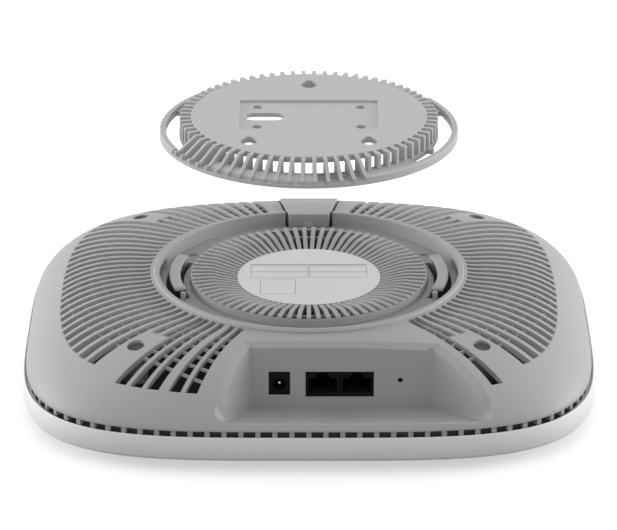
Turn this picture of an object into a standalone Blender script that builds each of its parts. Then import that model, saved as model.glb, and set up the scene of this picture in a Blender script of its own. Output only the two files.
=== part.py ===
"""Ceiling access point lying on its front cover, with its mounting plate lifted off above it.

Sizes are in millimetres, and each mesh is scaled to metres when it is made. The origin is in the middle of the
front face. The ports face -Y, and +Z points to the ceiling.
"""

import math

import bmesh
import bpy
from mathutils import Matrix, Vector

MM = 0.001
CLEARANCE = 0.3
WALL = 2.2
OUTLINE_POINTS = 56
TURNED_STEPS = 60
ROUND_SEGMENTS = 20

# Body outline and heights
BODY_WIDTH = 262.0
BODY_DEPTH = 241.0
CORNER_EXPONENT = 3.95
FACE_DEPTH = 6.0
FLAT_FACE_SHARE = 0.62
FACE_STEPS = 4
BAND_HEIGHT = 11.2
VENT_GAP = 2.3
CASING_INSET = 1.3
CASING_RISE = 27.0
CASING_SKIRT = 1.0
SIDE_FULLNESS = 3.0
CORNER_FULLNESS = 2.6
SIDE_ROUNDNESS = 1.15
CORNER_ROUNDNESS = 1.35
CASING_RINGS = (0.0, 0.3, 0.5, 0.66, 0.8, 0.91, 0.98, 1.0)
BAND_TOP = FACE_DEPTH + BAND_HEIGHT
CASING_EDGE = BAND_TOP + VENT_GAP
DECK_TOP = CASING_EDGE + CASING_RISE
RIM_RISE = 1.6
RIM_TOP = DECK_TOP + RIM_RISE

# Mounting well in the middle of the back
WELL_RADIUS = 69.4
RIM_WIDTH = 2.9
RIM_FLAT = 1.5
WELL_DEPTH = 6.5
WELL_FLOOR_THICKNESS = 2.0
WELL_FLOOR = RIM_TOP - WELL_DEPTH
RIM_RADIUS = WELL_RADIUS + RIM_WIDTH

# Finned hub and its label
LABEL_RADIUS = 33.5
LABEL_DROP = 4.3
LABEL_THICKNESS = 0.3
FIN_COUNT = 75
FIN_WIDTH = 1.9
FIN_RADIUS = 54.5
FIN_SHOULDER_RADIUS = 45.0
FIN_DROP = 1.7

# Hook arms, one on each side of the well, with a peg in front of each
HOOK_INNER_RADIUS = 60.6
HOOK_OUTER_RADIUS = 64.7
HOOK_BACK_ANGLE = 19.0
HOOK_FRONT_ANGLE = -18.5
HOOK_ROOT_ANGLE = 8.0
HOOK_TOP_DROP = 1.6
HOOK_LIFT = 2.8
HOOK_OPENING_MARGIN = 1.9
PEG_ANGLE = -21.2
PEG_RING_RADIUS = 61.7
PEG_RADIUS = 1.2
PEG_TOP_DROP = 2.8

# Release tab at the back of the rim
TAB_INNER_Y = 66.2
TAB_SHOULDER_Y = 80.0
TAB_OUTER_Y = 92.3
TAB_INNER_WIDTH = 18.9
TAB_OUTER_WIDTH = 28.0
TAB_HEIGHT = 5.4
TAB_OUTER_DROP = 2.1
TAB_HINGE_DROP = 4.4
TAB_SLIT = 0.8

# Port bay in the front of the back
BAY_SETBACK = 10.2
BAY_WALL_Y = -(RIM_RADIUS + BAY_SETBACK)
BAY_LEFT_X = -25.4
BAY_RIGHT_X = 54.9
BAY_LEFT_FLARE = 0.299
BAY_RIGHT_FLARE = 0.561
BAY_FLOOR_DROP = 33.4
BAY_FLOOR_RAMP = 0.234

# Sockets and reset button
SOCKET_TOP_DROP = 16.0
JACK_WIDTH = 15.0
JACK_HEIGHT = 11.9
JACK_DEPTH = 18.0
JACK_X = (6.15, 21.45)
PLUG_WIDTH = 11.9
PLUG_HEIGHT = 7.4
PLUG_DEPTH = 14.0
PLUG_FLOOR = 1.6
PLUG_LATCH_WIDTH = 5.4
PLUG_LATCH_HEIGHT = 1.6
DC_X = -13.2
DC_WIDTH = 9.3
DC_HEIGHT = 11.0
DC_DEPTH = 13.5
DC_HOLE_RADIUS = 2.95
DC_HOLE_DEPTH = 9.5
DC_HOLE_DROP = 6.0
DC_PIN_RADIUS = 1.0
DC_PIN_LENGTH = 8.0
RESET_X = 40.9
RESET_DROP = 20.1
RESET_HOLE_RADIUS = 1.05
RESET_TRAVEL = 0.5
RESET_BUTTON_RADIUS = 1.6
RESET_BUTTON_LENGTH = 2.4
RESET_SWITCH_WIDTH = 6.5
RESET_SWITCH_DEPTH = 5.0

# Casing screws and the wells they sit in
SCREW_PLACES = ((77.3, -77.8), (-77.3, -77.8), (80.7, 75.8), (-80.7, 75.8))
SCREW_WELL_RADIUS = 4.0
SCREW_WELL_WALL = 1.6
SCREW_WELL_SEAT = 24.0
SCREW_HEAD_RADIUS = 2.9
SCREW_HEAD_HEIGHT = 2.0
SCREW_SHANK_RADIUS = 1.5
SCREW_LENGTH = 10.0
SCREW_BOSS_RADIUS = 4.2

# Board, cans, heat spreader and reflector tray inside
BOARD_WIDTH = 136.0
BOARD_BACK_GAP = 30.0
BOARD_THICKNESS = 1.6
BOARD_TOP = RIM_TOP - SOCKET_TOP_DROP - JACK_HEIGHT - CLEARANCE
CAN_HEIGHT = 3.0
CANS = ((0.0, 12.0, 34.0, 34.0), (-38.0, 12.0, 30.0, 26.0), (38.0, 12.0, 30.0, 26.0))
PAD_THICKNESS = 0.9
PAD_INSET = 4.0
SPREADER_SHARE = 0.86
SPREADER_THICKNESS = 2.0
SPREADER_NOTCH_MARGIN = 4.0
TRAY_TOP_DROP = 6.0
TRAY_THICKNESS = 1.2
STANDOFF_RADIUS = 3.0
STANDOFF_INSET = 9.0
BOARD_SCREW_HEAD_RADIUS = 2.8
BOARD_SCREW_HEAD_HEIGHT = 1.8
BOARD_SCREW_RADIUS = 1.25
BOARD_SCREW_LENGTH = 7.0
ANTENNA_WIDTH = 22.0
ANTENNA_HEIGHT = 6.5
ANTENNA_FOOT = 6.0
ANTENNA_SHEET = 0.8
ANTENNA_EDGE_INSET = 8.0
LIGHT_GUIDE_RADIUS = 2.0
LIGHT_GUIDE_Y = -48.0

# Mounting plate, lifted off straight above its seat
PLATE_LIFT = 72.6
PLATE_HEIGHT = 9.6
DISC_RADIUS = 53.9
DISC_THICKNESS = 2.5
RIB_COUNT = 72
RIB_WIDTH = 1.7
RIB_RADIUS = 59.0
RIB_CHAMFER = 1.2
LONG_RIBS_START = 204.0
LONG_RIBS_END = 290.0
FLANGE_INNER_RADIUS = FIN_RADIUS + 0.7
FLANGE_OUTER_RADIUS = HOOK_INNER_RADIUS - 0.6
FLANGE_THICKNESS = 2.2
RING_INNER_RADIUS = HOOK_OUTER_RADIUS + 0.8
RING_OUTER_RADIUS = WELL_RADIUS - 1.2
RING_HEIGHT = 3.6
WINDOW_BACK_ANGLE = HOOK_BACK_ANGLE + 2.0
WINDOW_RIGHT_FRONT_ANGLE = -40.0
WINDOW_LEFT_FRONT_ANGLE = -24.5
POCKET_WIDTH = 63.3
POCKET_DEPTH = 37.7
POCKET_Y = -0.5
POCKET_SINK = 1.0
BOX_HOLE_X = 23.6
BOX_HOLE_Y = (11.9, -13.5)
BOX_HOLE_RADIUS = 2.1
CABLE_SLOT_X = -20.2
CABLE_SLOT_Y = -0.5
CABLE_SLOT_LENGTH = 18.4
CABLE_SLOT_WIDTH = 9.3
KEYHOLES = ((0.0, 39.4), (-27.0, -34.3), (27.0, -34.3))
KEYHOLE_RADIUS = 3.5
KEYHOLE_NECK_WIDTH = 3.4
KEYHOLE_NECK_LENGTH = 6.0
RING_NOTCH_MARGIN = 1.4
PLATE_BOTTOM = WELL_FLOOR + CLEARANCE + PLATE_LIFT
PLATE_TOP = PLATE_BOTTOM + PLATE_HEIGHT

for old in list(bpy.data.objects):
    bpy.data.objects.remove(old, do_unlink=True)

parts = bpy.data.collections.new("ceiling_access_point")
cutters = bpy.data.collections.new("cutters")
bpy.context.scene.collection.children.link(parts)
bpy.context.scene.collection.children.link(cutters)


def finish(name, red, green, blue, roughness, metallic=0.0):
    """A plain material for one kind of piece."""
    material = bpy.data.materials.new(name)
    material.use_nodes = True
    shader = material.node_tree.nodes["Principled BSDF"]
    shader.inputs["Base Color"].default_value = (red, green, blue, 1.0)
    shader.inputs["Roughness"].default_value = roughness
    shader.inputs["Metallic"].default_value = metallic
    material.diffuse_color = (red, green, blue, 1.0)
    return material


WHITE_PLASTIC = finish("white_plastic", 0.80, 0.80, 0.80, 0.45)
GREY_PLASTIC = finish("grey_plastic", 0.42, 0.42, 0.43, 0.55)
BLACK_PLASTIC = finish("black_plastic", 0.012, 0.012, 0.013, 0.4)
LABEL_FILM = finish("label_film", 0.70, 0.70, 0.70, 0.5)
CLEAR_PLASTIC = finish("clear_plastic", 0.75, 0.78, 0.80, 0.15)
BOARD_LAMINATE = finish("board_laminate", 0.02, 0.10, 0.05, 0.5)
THERMAL_PAD = finish("thermal_pad", 0.25, 0.27, 0.33, 0.8)
ALUMINIUM = finish("aluminium", 0.66, 0.67, 0.68, 0.4, 1.0)
BLACK_ALUMINIUM = finish("black_aluminium", 0.02, 0.02, 0.022, 0.6)
TINNED_STEEL = finish("tinned_steel", 0.62, 0.62, 0.60, 0.3, 1.0)


def place(name, bm, material, collection=parts, is_open=False):
    """Turns a bmesh in millimetres into a named object in metres, with the faces of a closed one outwards."""
    if not is_open:
        bmesh.ops.recalc_face_normals(bm, faces=bm.faces)
        if bm.calc_volume(signed=True) < 0:
            bmesh.ops.reverse_faces(bm, faces=bm.faces)
    bm.transform(Matrix.Scale(MM, 4))
    mesh = bpy.data.meshes.new(name)
    bm.to_mesh(mesh)
    bm.free()
    mesh.shade_smooth()
    mesh.set_sharp_from_angle(angle=math.radians(35.0))
    obj = bpy.data.objects.new(name, mesh)
    collection.objects.link(obj)
    if material:
        mesh.materials.append(material)
    if collection is cutters:
        obj.hide_render = True
        obj.display_type = "WIRE"
    return obj


def add_block(bm, low, high):
    """Adds a box between two corners to a bmesh."""
    low, high = Vector(low), Vector(high)
    sizes = Matrix.Diagonal((*(high - low), 1.0))
    bmesh.ops.create_cube(bm, size=1.0, matrix=Matrix.Translation((low + high) / 2) @ sizes)


def add_cylinder(bm, radius, start, end, segments=ROUND_SEGMENTS):
    """Adds a closed cylinder between two points to a bmesh."""
    start, end = Vector(start), Vector(end)
    turn = (end - start).to_track_quat("Z", "Y").to_matrix().to_4x4()
    bmesh.ops.create_cone(bm, cap_ends=True, segments=segments, radius1=radius, radius2=radius,
                          depth=(end - start).length, matrix=Matrix.Translation((start + end) / 2) @ turn)


def add_prism(bm, points, bottom, top):
    """Adds a flat outline, drawn anticlockwise, extruded between two heights."""
    face = bm.faces.new([bm.verts.new((x, y, bottom)) for x, y in points])
    raised = bmesh.ops.extrude_face_region(bm, geom=[face])["geom"]
    corners = [item for item in raised if isinstance(item, bmesh.types.BMVert)]
    bmesh.ops.translate(bm, vec=(0.0, 0.0, top - bottom), verts=corners)


def add_hull(bm, points):
    """Adds the convex solid around a few corner points."""
    corners = [bm.verts.new(point) for point in points]
    bmesh.ops.convex_hull(bm, input=corners)


def polar(radius, degrees):
    return radius * math.cos(math.radians(degrees)), radius * math.sin(math.radians(degrees))


def sector(inner, outer, start, end, step=4.0):
    """Outline of a piece of a flat ring between two angles in degrees."""
    count = max(2, math.ceil((end - start) / step))
    angles = [start + (end - start) * i / count for i in range(count + 1)]
    return [polar(outer, a) for a in angles] + [polar(inner, a) for a in reversed(angles)]


def boolean(target, other, operation="DIFFERENCE"):
    modifier = target.modifiers.new(other.name, "BOOLEAN")
    modifier.operation = operation
    modifier.object = other
    return target


def block(name, material, low, high, collection=parts):
    bm = bmesh.new()
    add_block(bm, low, high)
    return place(name, bm, material, collection)


def cylinder(name, material, radius, start, end, collection=parts, segments=ROUND_SEGMENTS):
    bm = bmesh.new()
    add_cylinder(bm, radius, start, end, segments)
    return place(name, bm, material, collection)


def turned(name, profile, material, x=0.0, y=0.0, closed=False, steps=TURNED_STEPS):
    """Turns a profile of (radius, height) points, drawn down its outer side, about a vertical axis."""
    bm = bmesh.new()
    corners = [bm.verts.new((radius * MM, 0.0, height * MM)) for radius, height in profile]
    for first, second in zip(corners, corners[1:]):
        bm.edges.new((first, second))
    if closed:
        bm.edges.new((corners[-1], corners[0]))
    mesh = bpy.data.meshes.new(name)
    bm.to_mesh(mesh)
    bm.free()
    obj = bpy.data.objects.new(name, mesh)
    parts.objects.link(obj)
    mesh.materials.append(material)
    obj.location = (x * MM, y * MM, 0.0)
    screw = obj.modifiers.new("turn", "SCREW")
    screw.axis = "Z"
    screw.steps = steps
    screw.render_steps = steps
    screw.use_merge_vertices = True
    screw.merge_threshold = 1e-5
    return obj


def outline(inset=0.0, share=1.0):
    """Points of the body's rounded outline, set in by a distance or drawn as a share of its size."""
    half_x = (BODY_WIDTH / 2 - inset) * share
    half_y = (BODY_DEPTH / 2 - inset) * share
    points = []
    for i in range(OUTLINE_POINTS):
        angle = 2 * math.pi * i / OUTLINE_POINTS
        c, s = math.cos(angle), math.sin(angle)
        reach = (abs(c) ** CORNER_EXPONENT + abs(s) ** CORNER_EXPONENT) ** (-1 / CORNER_EXPONENT)
        points.append((half_x * reach * c, half_y * reach * s))
    return points


def casing_ring(share):
    """One ring of the rear casing, from the rim (share 0) out to the lower edge (share 1)."""
    ring = []
    for i, (x, y) in enumerate(outline(CASING_INSET)):
        angle = 2 * math.pi * i / OUTLINE_POINTS
        corner = abs(math.sin(2 * angle))
        fullness = SIDE_FULLNESS + (CORNER_FULLNESS - SIDE_FULLNESS) * corner
        roundness = SIDE_ROUNDNESS + (CORNER_ROUNDNESS - SIDE_ROUNDNESS) * corner
        drop = (CASING_RISE - CASING_SKIRT) * (1 - (1 - share ** fullness) ** (1 / roundness))
        start = RIM_RADIUS + CLEARANCE
        ring.append((start * math.cos(angle) * (1 - share) + x * share,
                     start * math.sin(angle) * (1 - share) + y * share, DECK_TOP - drop))
    return ring


def casing_rings():
    """Rings of the rear casing's outer surface, down to the upright skirt at its edge."""
    return [casing_ring(share) for share in CASING_RINGS] + [at_height(outline(CASING_INSET), CASING_EDGE)]


def add_loft(bm, rings, cap_first=False, cap_last=False):
    """Adds a surface between rings that have the same number of points, drawn down its outer side."""
    rows = [[bm.verts.new(point) for point in ring] for ring in rings]
    for upper, lower in zip(rows, rows[1:]):
        for i in range(len(upper)):
            j = (i + 1) % len(upper)
            bm.faces.new((upper[i], lower[i], lower[j], upper[j]))
    if cap_first:
        bm.faces.new(rows[0])
    if cap_last:
        bm.faces.new(rows[-1][::-1])


def at_height(points, height):
    return [(x, y, height) for x, y in points]


def make_shell(name, rings, material, cap_last=False):
    """A moulded shell: a lofted outer surface, thickened inwards."""
    bm = bmesh.new()
    add_loft(bm, rings, cap_last=cap_last)
    obj = place(name, bm, material, is_open=True)
    solidify = obj.modifiers.new("wall", "SOLIDIFY")
    solidify.thickness = WALL * MM
    solidify.offset = -1.0
    solidify.use_even_offset = True
    return obj


def make_front_cover():
    """White cover: an upright band, a rounded edge and a flat face, with bosses for the casing screws."""
    rings = [at_height(outline(), BAND_TOP)]
    for step in range(FACE_STEPS, -1, -1):
        turn = math.pi / 2 * step / FACE_STEPS
        share = FLAT_FACE_SHARE + (1 - FLAT_FACE_SHARE) * math.sin(turn)
        rings.append(at_height(outline(share=share), FACE_DEPTH * (1 - math.cos(turn))))
    cover = make_shell("front_cover", rings, WHITE_PLASTIC, cap_last=True)
    bosses = bmesh.new()
    bores = bmesh.new()
    top = SCREW_WELL_SEAT - WALL - CLEARANCE
    for x, y in SCREW_PLACES:
        add_cylinder(bosses, SCREW_BOSS_RADIUS, (x, y, WALL / 2), (x, y, top))
        add_cylinder(bores, SCREW_SHANK_RADIUS + CLEARANCE, (x, y, WALL + 2.0), (x, y, top + 1.0), 12)
    boolean(cover, place("cover_bosses", bosses, None, cutters), "UNION")
    boolean(cover, place("cover_boss_bores", bores, None, cutters))


def make_vent_ring():
    """Grey spacer ring that stands inside the cover's band and carries the casing's edge."""
    bm = bmesh.new()
    outer = outline(WALL + CLEARANCE)
    inner = outline(2 * WALL + CLEARANCE)
    bottom, top = BAND_TOP - VENT_GAP, CASING_EDGE - CLEARANCE
    add_loft(bm, [at_height(outer, top), at_height(outer, bottom), at_height(inner, bottom),
                  at_height(inner, top), at_height(outer, top)])
    bmesh.ops.remove_doubles(bm, verts=bm.verts, dist=1e-4)
    place("vent_ring", bm, GREY_PLASTIC)


def body_envelope(name, lowered):
    """Solid block under the casing's outer surface, let down by a distance, for trimming what meets it."""
    rings = casing_rings()
    foot = outline(3 * WALL)
    rings += [at_height(foot, CASING_EDGE), at_height(foot, FACE_DEPTH)]
    bm = bmesh.new()
    add_loft(bm, rings, cap_first=True, cap_last=True)
    bmesh.ops.translate(bm, vec=(0.0, 0.0, -lowered), verts=bm.verts)
    return place(name, bm, None, cutters)


def add_bay_block(bm, grow):
    """Block of the port bay's hollow, grown by a distance on its back, sides and floor."""
    front_y = -BODY_DEPTH
    back_y = BAY_WALL_Y + grow
    floor_back = RIM_TOP - BAY_FLOOR_DROP - grow
    reach = back_y - front_y
    corners = []
    for y, along in ((back_y, 0.0), (front_y, reach)):
        left = BAY_LEFT_X - grow - BAY_LEFT_FLARE * along
        right = BAY_RIGHT_X + grow + BAY_RIGHT_FLARE * along
        low = floor_back + BAY_FLOOR_RAMP * along
        corners += [(x, y, z) for x in (left, right) for z in (low, 2 * RIM_TOP)]
    add_hull(bm, corners)


def bay_cutter(name, grow):
    bm = bmesh.new()
    add_bay_block(bm, grow)
    return place(name, bm, None, cutters)


def tab_corners(slit, low, high=None):
    """Corner points of the release tab, or of the notch around it when a slit and a height are given."""
    heights = ((TAB_INNER_Y - slit, TAB_INNER_WIDTH, 0.0), (TAB_SHOULDER_Y, None, 0.0),
               (TAB_OUTER_Y + slit, TAB_OUTER_WIDTH, TAB_OUTER_DROP))
    corners = []
    for y, width, drop in heights:
        if width is None:
            along = (TAB_SHOULDER_Y - TAB_INNER_Y) / (TAB_OUTER_Y - TAB_INNER_Y)
            width = TAB_INNER_WIDTH + (TAB_OUTER_WIDTH - TAB_INNER_WIDTH) * along
        half = width / 2 + slit
        top = RIM_TOP - drop if high is None else high
        corners += [(x, y, z) for x in (-half, half) for z in (low, top)]
    return corners


def notch_cutter(name):
    bm = bmesh.new()
    add_hull(bm, tab_corners(TAB_SLIT, 0.0, 2 * RIM_TOP))
    return place(name, bm, None, cutters)


def make_rear_casing():
    """Grey domed casing with the four screw wells, open for the port bay and the release tab."""
    casing = make_shell("rear_casing", casing_rings(), GREY_PLASTIC)
    tubes, bores = bmesh.new(), bmesh.new()
    for x, y in SCREW_PLACES:
        add_cylinder(tubes, SCREW_WELL_RADIUS + SCREW_WELL_WALL, (x, y, SCREW_WELL_SEAT - WALL), (x, y, 2 * RIM_TOP))
        add_cylinder(bores, SCREW_WELL_RADIUS, (x, y, SCREW_WELL_SEAT), (x, y, 2 * RIM_TOP))
    tube_mesh = place("screw_tubes", tubes, None, cutters)
    boolean(tube_mesh, body_envelope("envelope_in_wall", WALL / 2), "INTERSECT")
    boolean(casing, tube_mesh, "UNION")
    boolean(casing, place("screw_well_bores", bores, None, cutters))
    holes = bmesh.new()
    for x, y in SCREW_PLACES:
        add_cylinder(holes, SCREW_SHANK_RADIUS + CLEARANCE, (x, y, 0.0), (x, y, SCREW_WELL_SEAT + 1.0), 12)
    boolean(casing, place("screw_holes", holes, None, cutters))
    boolean(casing, bay_cutter("bay_opening", WALL + CLEARANCE))
    boolean(casing, notch_cutter("tab_notch_in_casing"))


def make_casing_screws():
    """Pan-head screws at the bottom of the wells, into the cover's bosses."""
    seat = SCREW_WELL_SEAT + CLEARANCE
    for number, (x, y) in enumerate(SCREW_PLACES, 1):
        profile = [(0.0, seat + SCREW_HEAD_HEIGHT), (SCREW_HEAD_RADIUS, seat + SCREW_HEAD_HEIGHT),
                   (SCREW_HEAD_RADIUS, seat), (SCREW_SHANK_RADIUS, seat),
                   (SCREW_SHANK_RADIUS, seat - SCREW_LENGTH), (0.0, seat - SCREW_LENGTH)]
        turned(f"casing_screw_{number}", profile, TINNED_STEEL, x, y, steps=12)


def make_mounting_well():
    """Round recess with its rim, the finned hub, and the two hook arms over openings in its floor."""
    label_seat = RIM_TOP - LABEL_DROP - LABEL_THICKNESS - CLEARANCE
    bottom = WELL_FLOOR - WELL_FLOOR_THICKNESS
    profile = [(0.0, label_seat), (LABEL_RADIUS, label_seat), (LABEL_RADIUS, WELL_FLOOR), (WELL_RADIUS, WELL_FLOOR),
               (WELL_RADIUS, RIM_TOP), (WELL_RADIUS + RIM_FLAT, RIM_TOP), (RIM_RADIUS, DECK_TOP), (RIM_RADIUS, bottom),
               (0.0, bottom)]
    well = turned("mounting_well", profile, GREY_PLASTIC)
    fins = bmesh.new()
    fin_top, fin_foot = RIM_TOP - FIN_DROP, WELL_FLOOR - WELL_FLOOR_THICKNESS / 2
    side = [(LABEL_RADIUS - FIN_WIDTH, fin_foot), (FIN_RADIUS, fin_foot), (FIN_RADIUS, fin_top),
            (FIN_SHOULDER_RADIUS, fin_top), (LABEL_RADIUS, label_seat - CLEARANCE),
            (LABEL_RADIUS - FIN_WIDTH, label_seat - CLEARANCE)]
    for i in range(FIN_COUNT):
        spin = Matrix.Rotation(2 * math.pi * i / FIN_COUNT + math.pi / 2, 4, "Z")
        web = [spin @ Vector((radius, -FIN_WIDTH / 2, height)) for radius, height in side]
        face = fins.faces.new([fins.verts.new(point) for point in web])
        raised = bmesh.ops.extrude_face_region(fins, geom=[face])["geom"]
        corners = [item for item in raised if isinstance(item, bmesh.types.BMVert)]
        bmesh.ops.translate(fins, vec=spin.to_3x3() @ Vector((0.0, FIN_WIDTH, 0.0)), verts=corners)
    boolean(well, place("hub_fins", fins, None, cutters), "UNION")
    openings, arms, pegs = bmesh.new(), bmesh.new(), bmesh.new()
    for side_sign in (1.0, -1.0):
        for bm, inner, outer, start, end, low, high in (
            (openings, HOOK_INNER_RADIUS - HOOK_OPENING_MARGIN, HOOK_OUTER_RADIUS + HOOK_OPENING_MARGIN,
             HOOK_FRONT_ANGLE - HOOK_ROOT_ANGLE / 4, HOOK_BACK_ANGLE - HOOK_ROOT_ANGLE, 0.0, RIM_TOP),
            (arms, HOOK_INNER_RADIUS, HOOK_OUTER_RADIUS, HOOK_FRONT_ANGLE, HOOK_BACK_ANGLE,
             WELL_FLOOR + HOOK_LIFT, RIM_TOP - HOOK_TOP_DROP),
            (pegs, HOOK_INNER_RADIUS, HOOK_OUTER_RADIUS, HOOK_BACK_ANGLE - HOOK_ROOT_ANGLE, HOOK_BACK_ANGLE,
             WELL_FLOOR - WELL_FLOOR_THICKNESS / 2, RIM_TOP - HOOK_TOP_DROP),
        ):
            points = sector(inner, outer, start, end)
            if side_sign < 0:
                points = [(-x, y) for x, y in reversed(points)]
            add_prism(bm, points, low, high)
        x, y = polar(PEG_RING_RADIUS, PEG_ANGLE)
        add_cylinder(pegs, PEG_RADIUS, (side_sign * x, y, WELL_FLOOR - WELL_FLOOR_THICKNESS / 2),
                     (side_sign * x, y, RIM_TOP - PEG_TOP_DROP), 10)
    boolean(well, place("hook_openings", openings, None, cutters))
    boolean(well, place("hook_roots_and_pegs", pegs, None, cutters), "UNION")
    boolean(well, place("hook_arms", arms, None, cutters), "UNION")
    boolean(well, notch_cutter("tab_notch_in_well"))


def make_rating_label():
    """Bare round label that lies on the hub."""
    seat = RIM_TOP - LABEL_DROP - LABEL_THICKNESS
    cylinder("rating_label", LABEL_FILM, LABEL_RADIUS - CLEARANCE, (0.0, 0.0, seat),
             (0.0, 0.0, seat + LABEL_THICKNESS), segments=48)


def make_release_tab():
    """Latch tab across the rim, which tips down about its outer edge when it is pressed."""
    bm = bmesh.new()
    add_hull(bm, tab_corners(0.0, RIM_TOP - TAB_HEIGHT))
    hinge = Vector((0.0, TAB_OUTER_Y, RIM_TOP - TAB_HINGE_DROP))
    bmesh.ops.translate(bm, vec=-hinge, verts=bm.verts)
    tab = place("release_tab", bm, GREY_PLASTIC)
    tab.location = hinge * MM


def socket_box(x, width, height, depth, grow=0.0):
    """Corners of a socket's body, whose face lies flush with the bay's back wall."""
    top = RIM_TOP - SOCKET_TOP_DROP
    return ((x - width / 2 - grow, BAY_WALL_Y - grow, top - height - grow),
            (x + width / 2 + grow, BAY_WALL_Y + depth + grow, top + grow))


def make_port_bay():
    """Recessed bay for the sockets, trimmed flush with the casing's outer surface."""
    bay = bay_cutter("port_bay", WALL)
    cutters.objects.unlink(bay)
    parts.objects.link(bay)
    bay.hide_render = False
    bay.display_type = "TEXTURED"
    bay.data.materials.append(GREY_PLASTIC)
    boolean(bay, body_envelope("envelope_at_surface", 0.0), "INTERSECT")
    boolean(bay, bay_cutter("bay_hollow", 0.0))
    cuts = bmesh.new()
    joined = (min(JACK_X) + max(JACK_X)) / 2
    span = max(JACK_X) - min(JACK_X) + JACK_WIDTH
    for low, high in (socket_box(DC_X, DC_WIDTH, DC_HEIGHT, DC_DEPTH, CLEARANCE),
                      socket_box(joined, span, JACK_HEIGHT, JACK_DEPTH, CLEARANCE)):
        add_block(cuts, (low[0], low[1] - WALL, low[2]), high)
    pin_y = BAY_WALL_Y + 2 * WALL
    height = RIM_TOP - RESET_DROP
    add_cylinder(cuts, RESET_HOLE_RADIUS, (RESET_X, BAY_WALL_Y - WALL, height), (RESET_X, pin_y, height), 16)
    boolean(bay, place("socket_windows", cuts, None, cutters))


def make_sockets():
    """Two network sockets with their plug hollows, and the power socket with its pin."""
    top = RIM_TOP - SOCKET_TOP_DROP
    for number, x in enumerate(JACK_X, 1):
        jack = block(f"ethernet_jack_{number}", BLACK_PLASTIC, *socket_box(x, JACK_WIDTH, JACK_HEIGHT, JACK_DEPTH))
        hollow = bmesh.new()
        floor = top - JACK_HEIGHT + PLUG_FLOOR
        latch_top = floor + PLUG_HEIGHT + PLUG_LATCH_HEIGHT
        front, back = BAY_WALL_Y - 1.0, BAY_WALL_Y + PLUG_DEPTH
        half, latch = PLUG_WIDTH / 2, PLUG_LATCH_WIDTH / 2
        shape = [(-half, floor), (half, floor), (half, floor + PLUG_HEIGHT), (latch, floor + PLUG_HEIGHT),
                 (latch, latch_top), (-latch, latch_top), (-latch, floor + PLUG_HEIGHT), (-half, floor + PLUG_HEIGHT)]
        add_prism(hollow, shape, -back, -front)
        bmesh.ops.rotate(hollow, cent=(0, 0, 0), matrix=Matrix.Rotation(math.pi / 2, 3, "X"), verts=hollow.verts)
        bmesh.ops.translate(hollow, vec=(x, 0.0, 0.0), verts=hollow.verts)
        boolean(jack, place(f"plug_hollow_{number}", hollow, None, cutters))
    dc_jack = block("dc_jack", BLACK_PLASTIC, *socket_box(DC_X, DC_WIDTH, DC_HEIGHT, DC_DEPTH))
    height = top - DC_HOLE_DROP
    bottom = BAY_WALL_Y + DC_HOLE_DEPTH
    boolean(dc_jack, cylinder("dc_hole", None, DC_HOLE_RADIUS, (DC_X, BAY_WALL_Y - 1.0, height),
                              (DC_X, bottom, height), cutters))
    cylinder("dc_pin", TINNED_STEEL, DC_PIN_RADIUS, (DC_X, bottom - CLEARANCE - DC_PIN_LENGTH, height),
             (DC_X, bottom - CLEARANCE, height), segments=12)


def make_reset():
    """Reset button behind its pinhole, and the switch that it presses."""
    height = RIM_TOP - RESET_DROP
    front = BAY_WALL_Y + WALL + CLEARANCE
    end = front + RESET_BUTTON_LENGTH
    button = cylinder("reset_button", BLACK_PLASTIC, RESET_BUTTON_RADIUS, (0.0, 0.0, 0.0),
                      (0.0, RESET_BUTTON_LENGTH, 0.0), segments=16)
    button.location = Vector((RESET_X, front, height)) * MM
    half = RESET_SWITCH_WIDTH / 2
    start = end + RESET_TRAVEL + CLEARANCE
    block("reset_switch", BLACK_PLASTIC, (RESET_X - half, start, BOARD_TOP + CLEARANCE),
          (RESET_X + half, start + RESET_SWITCH_DEPTH, height + half))


def standoff_places():
    """Places of the four standoffs, over the flat of the cover's face."""
    x = BOARD_WIDTH / 2 - STANDOFF_INSET
    y = BODY_DEPTH / 2 * FLAT_FACE_SHARE - STANDOFF_INSET
    return [(sx * x, sy * y) for sy in (-1, 1) for sx in (-1, 1)]


def pierced_sheet(name, material, low, high, hole_radius, extra_holes=()):
    """A flat sheet with a round hole at each standoff, and any extra holes (x, y, radius)."""
    sheet = block(name, material, low, high)
    holes = bmesh.new()
    for x, y, radius in [(x, y, hole_radius) for x, y in standoff_places()] + list(extra_holes):
        add_cylinder(holes, radius, (x, y, low[2] - 1.0), (x, y, high[2] + 1.0), 12)
    return boolean(sheet, place(f"{name}_holes", holes, None, cutters))


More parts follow.
